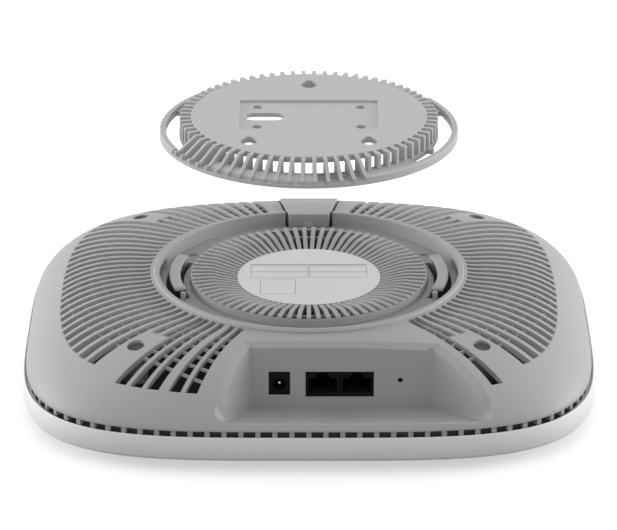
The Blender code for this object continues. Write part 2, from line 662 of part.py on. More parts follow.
def make_board_stack():
    """Board on standoffs, shield cans, pads and heat spreader above it, reflector tray and antennas below."""
    half = BOARD_WIDTH / 2
    front, back = BAY_WALL_Y + WALL + CLEARANCE, BODY_DEPTH / 2 - BOARD_BACK_GAP
    board_bottom = BOARD_TOP - BOARD_THICKNESS
    pierced_sheet("main_board", BOARD_LAMINATE, (-half, front, board_bottom), (half, back, BOARD_TOP),
                  BOARD_SCREW_RADIUS + CLEARANCE)
    tray_top = board_bottom - TRAY_TOP_DROP
    tray_bottom = tray_top - TRAY_THICKNESS
    guide_hole = (0.0, LIGHT_GUIDE_Y, LIGHT_GUIDE_RADIUS + CLEARANCE)
    tray_front = front + WALL
    pierced_sheet("reflector_tray", ALUMINIUM, (-half, tray_front, tray_bottom), (half, back, tray_top),
                  STANDOFF_RADIUS + CLEARANCE, [guide_hole])
    floor = WALL + CLEARANCE
    for number, (x, y) in enumerate(standoff_places(), 1):
        bore = BOARD_SCREW_RADIUS + CLEARANCE
        top = board_bottom - CLEARANCE
        turned(f"standoff_{number}", [(STANDOFF_RADIUS, top), (STANDOFF_RADIUS, floor), (bore, floor), (bore, top)],
               TINNED_STEEL, x, y, closed=True, steps=12)
        seat = BOARD_TOP + CLEARANCE
        head_top = seat + BOARD_SCREW_HEAD_HEIGHT
        tip = seat - BOARD_SCREW_LENGTH
        profile = [(0.0, head_top), (BOARD_SCREW_HEAD_RADIUS, head_top), (BOARD_SCREW_HEAD_RADIUS, seat),
                   (BOARD_SCREW_RADIUS, seat), (BOARD_SCREW_RADIUS, tip), (0.0, tip)]
        turned(f"board_screw_{number}", profile, TINNED_STEEL, x, y, steps=12)
    can_low = BOARD_TOP + CLEARANCE
    pad_low = can_low + CAN_HEIGHT + CLEARANCE
    spreader_low = pad_low + PAD_THICKNESS + CLEARANCE
    for number, (x, y, width, depth) in enumerate(CANS, 1):
        block(f"shield_can_{number}", TINNED_STEEL, (x - width / 2, y - depth / 2, can_low),
              (x + width / 2, y + depth / 2, can_low + CAN_HEIGHT))
        pad_x, pad_y = width / 2 - PAD_INSET, depth / 2 - PAD_INSET
        block(f"thermal_pad_{number}", THERMAL_PAD, (x - pad_x, y - pad_y, pad_low),
              (x + pad_x, y + pad_y, pad_low + PAD_THICKNESS))
    make_heat_spreader(spreader_low)
    cylinder("light_guide", CLEAR_PLASTIC, LIGHT_GUIDE_RADIUS, (0.0, LIGHT_GUIDE_Y, floor),
             (0.0, LIGHT_GUIDE_Y, board_bottom - CLEARANCE), segments=16)
    make_antennas(half, tray_front, back, tray_bottom - CLEARANCE)


def make_heat_spreader(low):
    """Black sheet under the louvres, cut away round the screw wells, the sockets and the bay."""
    high = low + SPREADER_THICKNESS
    bm = bmesh.new()
    add_prism(bm, outline(CASING_INSET, SPREADER_SHARE), low, high)
    spreader = place("heat_spreader", bm, BLACK_ALUMINIUM)
    cuts = bmesh.new()
    for x, y in SCREW_PLACES:
        add_cylinder(cuts, SCREW_WELL_RADIUS + SCREW_WELL_WALL + 2 * CLEARANCE, (x, y, low - 1.0), (x, y, high + 1.0))
    margin = SPREADER_NOTCH_MARGIN
    reach = BODY_DEPTH / 2 + BAY_WALL_Y
    right = BAY_RIGHT_X + BAY_RIGHT_FLARE * reach + margin
    left = BAY_LEFT_X - BAY_LEFT_FLARE * reach - margin
    back = BAY_WALL_Y + WALL + margin
    socket_back = BAY_WALL_Y + JACK_DEPTH + margin
    add_prism(cuts, [(left, -BODY_DEPTH), (right, -BODY_DEPTH), (right, -BODY_DEPTH / 2), (BAY_RIGHT_X + margin, back),
                     (BAY_RIGHT_X, socket_back), (BAY_LEFT_X, socket_back), (BAY_LEFT_X - margin, back),
                     (left, -BODY_DEPTH / 2)], low - 1.0, high + 1.0)
    boolean(spreader, place("heat_spreader_cuts", cuts, None, cutters))


def make_antennas(half, front, back, seat):
    """Bent sheet antennas that hang under the reflector tray, two along each edge."""
    middle = (front + back) / 2
    side_x = half - ANTENNA_EDGE_INSET
    end_y = (back - front) / 2 - ANTENNA_EDGE_INSET
    quarter_x, quarter_y = half / 3, (back - front) / 6
    places = [(sx * quarter_x, middle + sy * end_y, 90.0 * (1 + sy)) for sy in (-1, 1) for sx in (-1, 1)]
    places += [(sx * side_x, middle + sy * quarter_y, 90.0 * sx) for sx in (-1, 1) for sy in (-1, 1)]
    bottom = seat - ANTENNA_HEIGHT
    shape = [(0.0, seat), (0.0, bottom), (ANTENNA_SHEET, bottom), (ANTENNA_SHEET, seat - ANTENNA_SHEET),
             (ANTENNA_FOOT, seat - ANTENNA_SHEET), (ANTENNA_FOOT, seat)]
    for number, (x, y, turn) in enumerate(places, 1):
        bm = bmesh.new()
        add_prism(bm, shape, -ANTENNA_WIDTH / 2, ANTENNA_WIDTH / 2)
        upright = Matrix.Rotation(math.radians(turn), 4, "Z") @ Matrix(((0, 0, 1, 0), (1, 0, 0, 0), (0, 1, 0, 0), (0, 0, 0, 1)))
        bm.transform(Matrix.Translation((x, y, 0.0)) @ upright)
        place(f"antenna_{number}", bm, TINNED_STEEL)


def rib_side(radius, height):
    """Side outline of a rib of the mounting plate, reaching out to a radius at a height over the flange."""
    under = PLATE_TOP - DISC_THICKNESS
    low = PLATE_BOTTOM + FLANGE_THICKNESS / 2
    root = DISC_RADIUS - 1.0
    return [(root, under), (FLANGE_INNER_RADIUS, under), (FLANGE_INNER_RADIUS, low), (radius, low),
            (radius, height), (RIB_RADIUS - RIB_CHAMFER, PLATE_TOP - CLEARANCE), (root, PLATE_TOP - CLEARANCE)]


def make_mounting_plate():
    """Ribbed plate that screws to the ceiling: disc, ribs, flange and an outer ring with windows for the hooks."""
    profile = [(0.0, PLATE_TOP), (DISC_RADIUS, PLATE_TOP), (DISC_RADIUS, PLATE_TOP - DISC_THICKNESS),
               (0.0, PLATE_TOP - DISC_THICKNESS)]
    plate = turned("mounting_plate", profile, GREY_PLASTIC)
    ribs = bmesh.new()
    for i in range(RIB_COUNT):
        turn = 360.0 * i / RIB_COUNT
        spin = Matrix.Rotation(math.radians(turn), 4, "Z")
        side = rib_side(RIB_RADIUS, PLATE_TOP - CLEARANCE - RIB_CHAMFER)
        if LONG_RIBS_START < turn < LONG_RIBS_END:
            side = rib_side(RING_INNER_RADIUS + 1.0, PLATE_BOTTOM + RING_HEIGHT - CLEARANCE)
        web = [spin @ Vector((radius, -RIB_WIDTH / 2, height)) for radius, height in side]
        face = ribs.faces.new([ribs.verts.new(point) for point in web])
        raised = bmesh.ops.extrude_face_region(ribs, geom=[face])["geom"]
        corners = [item for item in raised if isinstance(item, bmesh.types.BMVert)]
        bmesh.ops.translate(ribs, vec=spin.to_3x3() @ Vector((0.0, RIB_WIDTH, 0.0)), verts=corners)
    boolean(plate, place("plate_ribs", ribs, None, cutters), "UNION")
    base = bmesh.new()
    add_prism(base, [polar(RING_OUTER_RADIUS, a) for a in range(0, 360, 5)], PLATE_BOTTOM, PLATE_BOTTOM + RING_HEIGHT)
    base = place("plate_base", base, None, cutters)
    hollows = bmesh.new()
    inner = [polar(FLANGE_INNER_RADIUS, a) for a in range(0, 360, 5)]
    add_prism(hollows, inner, PLATE_BOTTOM - 1.0, PLATE_TOP)
    boolean(base, place("plate_base_bore", hollows, None, cutters))
    groove = bmesh.new()
    top = PLATE_BOTTOM + FLANGE_THICKNESS
    add_prism(groove, [polar(RING_INNER_RADIUS, a) for a in range(0, 360, 5)], top, PLATE_TOP)
    boolean(base, place("plate_ring_groove", groove, None, cutters))
    windows = bmesh.new()
    spans = ((WINDOW_RIGHT_FRONT_ANGLE, WINDOW_BACK_ANGLE), (180.0 - WINDOW_BACK_ANGLE, 180.0 - WINDOW_LEFT_FRONT_ANGLE))
    for start, end in spans:
        add_prism(windows, sector(FLANGE_OUTER_RADIUS, RING_INNER_RADIUS, start, end), PLATE_BOTTOM - 1.0, PLATE_TOP)
    half = TAB_INNER_WIDTH / 2 + RING_NOTCH_MARGIN
    add_block(windows, (-half, TAB_INNER_Y - RING_NOTCH_MARGIN, PLATE_BOTTOM - 1.0), (half, BODY_DEPTH / 2, PLATE_TOP))
    boolean(base, place("hook_windows_and_tab_notch", windows, None, cutters))
    boolean(plate, base, "UNION")
    boolean(plate, place("plate_holes", plate_holes(), None, cutters))
    pocket = bmesh.new()
    add_block(pocket, (-POCKET_WIDTH / 2, POCKET_Y - POCKET_DEPTH / 2, PLATE_TOP - POCKET_SINK),
              (POCKET_WIDTH / 2, POCKET_Y + POCKET_DEPTH / 2, PLATE_TOP + 1.0))
    boolean(plate, place("plate_pocket", pocket, None, cutters))


def plate_holes():
    """Cutters through the plate's disc: box screw holes, the cable slot and the keyholes."""
    low, high = PLATE_TOP - 2 * DISC_THICKNESS, PLATE_TOP + 1.0
    bm = bmesh.new()
    for x in (-BOX_HOLE_X, BOX_HOLE_X):
        for y in BOX_HOLE_Y:
            add_cylinder(bm, BOX_HOLE_RADIUS, (x, y, low), (x, y, high), 12)
    half = (CABLE_SLOT_LENGTH - CABLE_SLOT_WIDTH) / 2
    points = []
    for sign in (1, -1):
        for step in range(9):
            dx, dy = polar(CABLE_SLOT_WIDTH / 2, -90.0 + 22.5 * step)
            points.append((CABLE_SLOT_X + sign * (half + dx), CABLE_SLOT_Y + sign * dy))
    add_prism(bm, points, low, high)
    neck = math.degrees(math.asin(KEYHOLE_NECK_WIDTH / 2 / KEYHOLE_RADIUS))
    for x, y in KEYHOLES:
        turns = [90.0 + neck + (360.0 - 2 * neck) * step / 14 for step in range(15)]
        points = [(x + dx, y + dy) for dx, dy in (polar(KEYHOLE_RADIUS, turn) for turn in turns)]
        end_y = y + KEYHOLE_NECK_LENGTH
        points += [(x + KEYHOLE_NECK_WIDTH / 2, end_y), (x - KEYHOLE_NECK_WIDTH / 2, end_y)]
        add_prism(bm, points, low, high)
    return bm


make_front_cover()
make_vent_ring()
make_rear_casing()
make_casing_screws()
make_mounting_well()
make_rating_label()
make_release_tab()
make_port_bay()
make_sockets()
make_reset()
make_board_stack()
make_mounting_plate()
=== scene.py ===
"""Looks of a ceiling access point that lies on its front cover, with its mounting plate taken off above it.

Shapes are worked out in millimetres, in the part's own frame. Each mesh is scaled to metres when it is made.
"""

import math

import bmesh
import bpy
from mathutils import Matrix, Vector


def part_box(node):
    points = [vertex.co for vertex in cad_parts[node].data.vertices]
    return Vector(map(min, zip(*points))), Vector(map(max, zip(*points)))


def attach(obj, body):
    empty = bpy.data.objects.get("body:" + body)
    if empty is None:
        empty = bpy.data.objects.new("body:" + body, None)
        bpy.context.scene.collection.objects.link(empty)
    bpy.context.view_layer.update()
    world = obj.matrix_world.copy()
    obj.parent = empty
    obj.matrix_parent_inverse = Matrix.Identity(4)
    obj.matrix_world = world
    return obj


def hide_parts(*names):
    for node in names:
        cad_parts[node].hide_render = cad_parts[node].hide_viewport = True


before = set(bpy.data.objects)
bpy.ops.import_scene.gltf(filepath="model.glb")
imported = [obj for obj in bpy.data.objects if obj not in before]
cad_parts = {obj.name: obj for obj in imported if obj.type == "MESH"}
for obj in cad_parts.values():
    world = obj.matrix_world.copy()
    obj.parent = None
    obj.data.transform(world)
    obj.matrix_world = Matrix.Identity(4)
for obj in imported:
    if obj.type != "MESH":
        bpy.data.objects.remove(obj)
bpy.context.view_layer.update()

# Front cover
# The white shell that faces the room: a shallow domed face inside an upright band. It is moulded in ABS with
# a satin finish, and the four casing screws go down into it.
MM = 0.001
OUTLINE_STEPS = 192
CORNER_EXPONENT = 3.95
FLAT_FACE_SHARE = 0.62
FACE_STEPS = 10
COVER_WALL = 2.2
COVER_EDGE_ROUND = 0.5
COVER_EDGE_BEND = 0.3
FACE_DEPTH = 7.5
PLASTIC_IOR = 1.53
MOTTLE_SIZE = 18.0


def box_of(name):
    """Lower and upper corner of one of the part's pieces, in millimetres."""
    return [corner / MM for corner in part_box(name)]


HALF_WIDTH, HALF_DEPTH, _ = box_of("front_cover")[1]
BAND_TOP = (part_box("vent_ring")[0].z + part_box("rear_casing")[0].z) / MM / 2


def linear(hex_colour):
    """Linear red, green, blue and alpha of an sRGB hex colour."""
    parts = [int(hex_colour[i:i + 2], 16) / 255 for i in (1, 3, 5)]
    return tuple(p / 12.92 if p <= 0.04045 else ((p + 0.055) / 1.055) ** 2.4 for p in parts) + (1.0,)


def add_node(tree, kind, settings=(), links=()):
    """Adds one node: its settings are properties or input values, its links are (input, node, output)."""
    node = tree.nodes.new(kind)
    for name, value in dict(settings).items():
        if name in node.inputs:
            node.inputs[name].default_value = value
        else:
            setattr(node, name, value)
    for name, source, output in links:
        tree.links.new(source.outputs[output], node.inputs[name])
    return node


def new_material(name):
    """A new material, its node tree and its shader."""
    material = bpy.data.materials.new(name)
    material.use_nodes = True
    tree = material.node_tree
    return material, tree, tree.nodes["Principled BSDF"]


def add_grain(tree, shader, grain_mm, roughness, spread):
    """Lets the shine vary with a fine grain, and gives back the grain and the piece's own coordinates."""
    place = add_node(tree, "ShaderNodeTexCoord")
    grain = add_node(tree, "ShaderNodeTexNoise", {"Scale": 1 / (grain_mm * MM), "Detail": 3.0},
                     [("Vector", place, "Object")])
    rough = add_node(tree, "ShaderNodeMapRange", {"To Min": roughness - spread, "To Max": roughness + spread},
                     [("Value", grain, "Fac")])
    tree.links.new(rough.outputs["Result"], shader.inputs["Roughness"])
    return grain, place


def moulded_plastic(name, hex_colour, roughness, grain_mm, grain_depth_mm, mottle=0.03):
    """A moulded plastic: an even colour with a slight mottle, and the fine grain of a spark-eroded mould."""
    material, tree, shader = new_material(name)
    shader.inputs["IOR"].default_value = PLASTIC_IOR
    grain, place = add_grain(tree, shader, grain_mm, roughness, 0.05)
    cloud = add_node(tree, "ShaderNodeTexNoise", {"Scale": 1 / (MOTTLE_SIZE * MM), "Detail": 2.0},
                     [("Vector", place, "Object")])
    mix = add_node(tree, "ShaderNodeMix", {"data_type": "RGBA"}, [("Factor", cloud, "Fac")])
    for socket, shade in ((6, 1 - mottle), (7, 1 + mottle)):
        mix.inputs[socket].default_value = tuple(min(1.0, c * shade) for c in linear(hex_colour)[:3]) + (1.0,)
    tree.links.new(mix.outputs[2], shader.inputs["Base Color"])
    bump = add_node(tree, "ShaderNodeBump", {"Strength": 0.5, "Distance": grain_depth_mm * MM},
                    [("Height", grain, "Fac")])
    tree.links.new(bump.outputs["Normal"], shader.inputs["Normal"])
    return material


def outline(inset=0.0, share=1.0):
    """Points of the body's rounded outline, set in by a distance or drawn as a share of its size."""
    points = []
    for step in range(OUTLINE_STEPS):
        turn = 2 * math.pi * step / OUTLINE_STEPS
        c, s = math.cos(turn), math.sin(turn)
        reach = (abs(c) ** CORNER_EXPONENT + abs(s) ** CORNER_EXPONENT) ** (-1 / CORNER_EXPONENT)
        points.append(((HALF_WIDTH - inset) * share * reach * c, (HALF_DEPTH - inset) * share * reach * s))
    return points


def at_height(points, height):
    return [(x, y, height) for x, y in points]


def add_loft(bm, rings, cap_last=False):
    """Adds the surface between rings of equally many points, drawn down its outer side."""
    rows = [[bm.verts.new(point) for point in ring] for ring in rings]
    for upper, lower in zip(rows, rows[1:]):
        for i in range(len(upper)):
            j = (i + 1) % len(upper)
            bm.faces.new((upper[i], lower[i], lower[j], upper[j]))
    if cap_last:
        bm.faces.new(rows[-1][::-1])


def make_piece(name, bm, material, is_open=False, sharp=35.0):
    """Turns a bmesh in millimetres into a smooth object in metres; a closed one gets its faces outwards."""
    if not is_open:
        bmesh.ops.recalc_face_normals(bm, faces=bm.faces)
    bm.transform(Matrix.Scale(MM, 4))
    mesh = bpy.data.meshes.new(name)
    bm.to_mesh(mesh)
    bm.free()
    mesh.shade_smooth()
    mesh.set_sharp_from_angle(angle=math.radians(sharp))
    piece = bpy.data.objects.new(name, mesh)
    bpy.context.scene.collection.objects.link(piece)
    if material:
        mesh.materials.append(material)
    return piece


def add_wall(piece, thickness):
    """Thickens an open surface inwards."""
    wall = piece.modifiers.new("wall", "SOLIDIFY")
    wall.thickness = thickness * MM
    wall.offset = -1.0
    wall.use_even_offset = True


def add_rounding(piece, width, segments=2, angle=35.0):
    """Rounds the sharp edges of a piece."""
    rounding = piece.modifiers.new("rounding", "BEVEL")
    rounding.width = width * MM
    rounding.segments = segments
    rounding.limit_method = "ANGLE"
    rounding.angle_limit = math.radians(angle)


# Satin moulded ABS: a soft broad highlight and hardly any grain.
white_abs = moulded_plastic("white_satin_abs", "#EAEAE9", 0.42, 0.5, 0.01, 0.01)
cover_rings = [at_height(outline(COVER_EDGE_ROUND), BAND_TOP),
               at_height(outline(COVER_EDGE_ROUND * COVER_EDGE_BEND),
                         BAND_TOP - COVER_EDGE_ROUND * COVER_EDGE_BEND),
               at_height(outline(), BAND_TOP - COVER_EDGE_ROUND)]
for step in range(FACE_STEPS, -1, -1):
    turn = math.pi / 2 * step / FACE_STEPS
    share = FLAT_FACE_SHARE + (1 - FLAT_FACE_SHARE) * math.sin(turn)
    cover_rings.append(at_height(outline(share=share), FACE_DEPTH * (1 - math.cos(turn))))
cover_mesh = bmesh.new()
add_loft(cover_mesh, cover_rings, cap_last=True)
front_cover = make_piece("front_cover_shell", cover_mesh, white_abs, is_open=True)
add_wall(front_cover, COVER_WALL)
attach(front_cover, "access_point")
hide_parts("front_cover")

# Vent ring
# A toothed spacer in the gap between the cover and the casing: the teeth carry the casing's edge, and air
# passes between them. It is moulded in grey ABS; its back wall is coloured dark as painted shade.
TOOTH_PITCH = 7.45
TOOTH_SHARE = 0.31
TOOTH_INSET = 2.0
TOOTH_DEPTH = 3.0
VENT_BACK_INSET = 4.4
VENT_BACK_WALL = 1.2
TOOTH_ROOT, TOOTH_BITE, TOOTH_ROUND = 1.0, 0.4, 0.2
VENT_BACK_RISE, VENT_BACK_ROOT = 1.5, 3.0
casing_low, casing_high = box_of("rear_casing")
CASING_EDGE = casing_low.z
# Matt moulded ABS in a mid grey, with the fine grain of its mould.
grey_abs = moulded_plastic("grey_matt_abs", "#A8A8A8", 0.55, 0.6, 0.02)
# Painted shade: the back of the vent lies in shade behind the teeth, so it is coloured a dark grey.
vent_shade_abs = moulded_plastic("vent_back_painted_shade", "#464646", 0.6, 0.6, 0.02)


def smooth_outline(inset, count):
    """Evenly spaced points along the outline, each with its direction along the edge."""
    fine = [Vector(point) for point in outline(inset)]
    fine.append(fine[0])
    reach = [0.0]
    for first, second in zip(fine, fine[1:]):
        reach.append(reach[-1] + (second - first).length)
    points, segment = [], 0
    for i in range(count):
        goal = reach[-1] * i / count
        while reach[segment + 1] < goal:
            segment += 1
        along = (goal - reach[segment]) / (reach[segment + 1] - reach[segment])
        first, second = fine[segment], fine[segment + 1]
        points.append((first.lerp(second, along), (second - first).normalized()))
    return points, reach[-1]


def add_prism(bm, points, low, high):
    """Adds a flat outline, drawn anticlockwise, between two heights."""
    bottom = [bm.verts.new((x, y, low)) for x, y in points]
    top = [bm.verts.new((x, y, high)) for x, y in points]
    bm.faces.new(bottom[::-1])
    bm.faces.new(top)
    for i in range(len(points)):
        j = (i + 1) % len(points)
        bm.faces.new((bottom[i], bottom[j], top[j], top[i]))


tooth_count = round(smooth_outline(TOOTH_INSET, 1)[1] / TOOTH_PITCH)
teeth = bmesh.new()
for point, along in smooth_outline(TOOTH_INSET, tooth_count)[0]:
    inward = Vector((-along.y, along.x)) * TOOTH_DEPTH
    half = along * TOOTH_PITCH * TOOTH_SHARE / 2
    add_prism(teeth, [point - half, point + half, point + half + inward, point - half + inward],
              BAND_TOP - TOOTH_ROOT, CASING_EDGE + TOOTH_BITE)
vent_teeth = make_piece("vent_ring_teeth", teeth, grey_abs)
add_rounding(vent_teeth, TOOTH_ROUND)
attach(vent_teeth, "access_point")
vent_wall = bmesh.new()
wall_outer, wall_inner = outline(VENT_BACK_INSET), outline(VENT_BACK_INSET + VENT_BACK_WALL)
wall_top, wall_foot = CASING_EDGE + VENT_BACK_RISE, BAND_TOP - VENT_BACK_ROOT
add_loft(vent_wall, [at_height(wall_outer, wall_top), at_height(wall_outer, wall_foot),
                     at_height(wall_inner, wall_foot), at_height(wall_inner, wall_top),
                     at_height(wall_outer, wall_top)])
bmesh.ops.remove_doubles(vent_wall, verts=vent_wall.verts, dist=1e-4)
vent_back = make_piece("vent_ring_back", vent_wall, vent_shade_abs)
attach(vent_back, "access_point")
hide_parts("vent_ring")

# Rear casing
# The domed grey shell, moulded in matt ABS with a fan of louvre slots round the well. It is cut open for the
# port bay and the release tab, and four screws in deep wells hold it to the cover.
CASING_INSET = 1.3
CASING_SKIRT = 0.6
CASING_WALL = 3.0
RIM_GAP = 0.05
SIDE_FULLNESS = 3.0
CORNER_FULLNESS = 2.6
SIDE_ROUNDNESS = 1.15
CORNER_ROUNDNESS = 1.35
FRONT_ROUNDNESS = 1.0
RIM_FLARE = 0.8
RIM_FLARE_SHARE = 0.1
DECK_TOP = casing_high.z
well_low, well_high = box_of("mounting_well")
RIM_TOP = well_high.z
RIM_RADIUS = well_high.x
FRONT_FOCUS = 8
FLARE_POWER = 1.5
FLARE_FADE = (0.85, 0.1)
LOUVRE_PITCH = 3.54
BACK_LOUVRE_PITCHES = (3.63, 3.47)
PITCH_CHANGE = 10
LOUVRE_FIRST = -0.05
LOUVRE_BACK_END = 21
LOUVRE_HALF_WIDTH = 1.17
PAD_LOUVRES = (12, 13, -13, -14)
FRONT_LOUVRE = -15
FRONT_LOUVRE_PITCH = 3.2
FRONT_LOUVRE_FIRST = -52.1
LAST_LOUVRES = (-18, -19)
LAST_SHIFT = 1.0
LEAN = -1.2
LEAN_ANGLE = 22
LEAN_SHARE = 0.7
LEAN_POWER = 1.4
LEAN_END, LEAN_FADE = 86, 8
SLOT_START = 0.02
SHORT_SLOT_END = 0.34
SLOT_END = 0.74
LONG_SLOT_END = 0.805
SLOT_RAMP = 0.045
SLOT_FOOT = 1.1
CASING_ROWS = 36
ROW_CROWDING = 1.5
FLARE_ROWS = {0.045, 0.07, 0.1}
PLAIN_COLUMN = 2.2


def ease(value):
    """A smooth step from 0 to 1."""
    value = min(max(value, 0.0), 1.0)
    return value * value * (3 - 2 * value)


def casing_point(degrees, share):
    """A point on the casing's outer surface, from the rim (share 0) out to its lower edge (share 1)."""
    turn = math.radians(degrees)
    c, s = math.cos(turn), math.sin(turn)
    reach = (abs(c) ** CORNER_EXPONENT + abs(s) ** CORNER_EXPONENT) ** (-1 / CORNER_EXPONENT)
    corner = abs(math.sin(2 * turn))
    fullness = SIDE_FULLNESS + (CORNER_FULLNESS - SIDE_FULLNESS) * corner
    roundness = SIDE_ROUNDNESS + (CORNER_ROUNDNESS - SIDE_ROUNDNESS) * corner
    roundness += (FRONT_ROUNDNESS - roundness) * max(0.0, -s) ** FRONT_FOCUS
    share = min(max(share, 0.0), 1.0)
    drop = (DECK_TOP - CASING_EDGE - CASING_SKIRT) * (1 - (1 - share ** fullness) ** (1 / roundness))
    flare = RIM_FLARE * max(0.0, 1 - share / RIM_FLARE_SHARE) ** FLARE_POWER
    flare *= 1 - ease((-s - FLARE_FADE[0]) / FLARE_FADE[1])
    start = RIM_RADIUS + RIM_GAP
    return Vector((start * c * (1 - share) + (HALF_WIDTH - CASING_INSET) * reach * c * share,
                   start * s * (1 - share) + (HALF_DEPTH - CASING_INSET) * reach * s * share,
                   DECK_TOP - drop + flare))


def slot_lean(lean_angle, share):
    """How far a louvre leans off its straight line, in degrees, at a share of the way out."""
    lean = LEAN * ease(1 - abs(lean_angle + LEAN_ANGLE) / LEAN_ANGLE)
    return lean * (share / LEAN_SHARE) ** LEAN_POWER


def side_angle(degrees):
    """Angle from the nearer side axis, positive towards the back."""
    turn = degrees % 360
    if turn > 270:
        return turn - 360
    return turn if turn <= 90 else 180 - turn


def leaned(degrees, share):
    """A casing angle moved along the lean of the louvres around it."""
    lean = slot_lean(side_angle(degrees), min(share, LONG_SLOT_END))
    lean *= ease((LEAN_END - abs(side_angle(degrees))) / LEAN_FADE)
    sign = 1 if math.cos(math.radians(degrees)) >= 0 else -1
    return degrees + sign * lean


def louvre_angle(k):
    """Angle of a louvre from its side axis, counted towards the back."""
    if k <= FRONT_LOUVRE:
        angle = FRONT_LOUVRE_FIRST + FRONT_LOUVRE_PITCH * (k - FRONT_LOUVRE)
        return angle - LAST_SHIFT if k in LAST_LOUVRES else angle
    if k <= 0:
        return LOUVRE_FIRST + LOUVRE_PITCH * k
    near_pitch, far_pitch = BACK_LOUVRE_PITCHES
    return LOUVRE_FIRST + near_pitch * min(k, PITCH_CHANGE) + far_pitch * max(k - PITCH_CHANGE, 0)


slots = []
for side in (1, -1):
    for k in range(FRONT_LOUVRE if side == 1 else LAST_LOUVRES[1], LOUVRE_BACK_END + 1):
        end = LONG_SLOT_END if k <= FRONT_LOUVRE else SLOT_END
        if k in PAD_LOUVRES:
            end = SHORT_SLOT_END
        slots.append(((louvre_angle(k) if side == 1 else 180 - louvre_angle(k)) % 360, end))
slots.sort()
columns = []
for i, (centre, end) in enumerate(slots):
    columns.append((centre - LOUVRE_HALF_WIDTH, end))
    columns.append((centre + LOUVRE_HALF_WIDTH, None))
    following = slots[(i + 1) % len(slots)][0] + (360 if i == len(slots) - 1 else 0)
    room = following - centre - 2 * LOUVRE_HALF_WIDTH
    extra = max(0, math.ceil(room / PLAIN_COLUMN) - 1)
    for step in range(1, extra + 1):
        columns.append((centre + LOUVRE_HALF_WIDTH + room * step / (extra + 1), None))
shares = sorted({1 - (1 - step / CASING_ROWS) ** ROW_CROWDING for step in range(CASING_ROWS + 1)} | FLARE_ROWS
                | {SLOT_START, SHORT_SLOT_END, SLOT_END, LONG_SLOT_END})
shell = bmesh.new()
grid = []
for share in shares:
    grid.append([shell.verts.new(casing_point(leaned(angle, share), share)) for angle, _ in columns])
grid.append([shell.verts.new((v.co.x, v.co.y, CASING_EDGE)) for v in grid[-1]])
for row in range(len(grid) - 1):
    for i in range(len(columns)):
        j = (i + 1) % len(columns)
        end = columns[i][1]
        if end and row < len(shares) - 1 and SLOT_START <= shares[row] < end - 1e-6:
            continue
        shell.faces.new((grid[row][i], grid[row + 1][i], grid[row + 1][j], grid[row][j]))
for i, (angle, end) in enumerate(columns):
    if end:
        j = (i + 1) % len(columns)
        row = shares.index(end)
        low = []
        for column in (i, j):
            foot = casing_point(leaned(columns[column][0], end - SLOT_RAMP), end - SLOT_RAMP)
            low.append(shell.verts.new(foot - Vector((0, 0, CASING_WALL * SLOT_FOOT))))
        shell.faces.new((low[0], grid[row][i], grid[row][j], low[1]))
rear_casing = make_piece("rear_casing_shell", shell, grey_abs, is_open=True, sharp=40.0)
add_wall(rear_casing, CASING_WALL)


def bake(piece, sharp=30.0):
    """Turns a piece's modifiers into its mesh, with its sharp edges marked again."""
    graph = bpy.context.evaluated_depsgraph_get()
    mesh = bpy.data.meshes.new_from_object(piece.evaluated_get(graph))
    mesh.shade_smooth()
    mesh.set_sharp_from_angle(angle=math.radians(sharp))
    piece.modifiers.clear()
    piece.data = mesh


def cut(piece, bm, sharp=30.0):
    """Cuts a closed shape in millimetres out of a piece."""
    tool = make_piece("tool", bm, None)
    modifier = piece.modifiers.new("cut", "BOOLEAN")
    modifier.object = tool
    bake(piece, sharp)
    bpy.data.objects.remove(tool)


def surface_at(x, y):
    """Height of the casing's outer surface over a point, found by closing in along its angle and share."""
    degrees = math.degrees(math.atan2(y * HALF_WIDTH, x * HALF_DEPTH))
    low, high = 0.0, 1.0
    goal = math.hypot(x, y)
    for _ in range(40):
        share = (low + high) / 2
        point = casing_point(degrees, share)
        if math.hypot(point.x, point.y) < goal:
            low = share
        else:
            high = share
    return casing_point(degrees, share).z


def add_cylinder(bm, radius, start, end, segments=48):
    """Adds a closed cylinder between two points."""
    start, end = Vector(start), Vector(end)
    turn = (end - start).to_track_quat("Z", "Y").to_matrix().to_4x4()
    bmesh.ops.create_cone(bm, cap_ends=True, segments=segments, radius1=radius, radius2=radius,
                          depth=(end - start).length, matrix=Matrix.Translation((start + end) / 2) @ turn)


def add_hull(bm, points):
    """Adds the convex solid around a few corner points."""
    bmesh.ops.convex_hull(bm, input=[bm.verts.new(point) for point in points])


SCREW_WELL_RADIUS = 4.0
SCREW_WELL_WALL = 1.6
SCREW_WELL_SEAT = 24.0
SCREW_WELL_THICKNESS = 2.0
SCREW_WELL_HOLE = 1.8
SCREW_WELL_DROP = 1.2
SCREW_WELL_STEPS = 48
screw_boxes = [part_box(f"casing_screw_{number}") for number in range(1, 5)]
screw_places = [((low + high) / 2 / MM).to_2d() for low, high in screw_boxes]
bores = bmesh.new()
for place in screw_places:
    add_cylinder(bores, SCREW_WELL_RADIUS, (*place, SCREW_WELL_SEAT), (*place, 2 * RIM_TOP))
cut(rear_casing, bores)

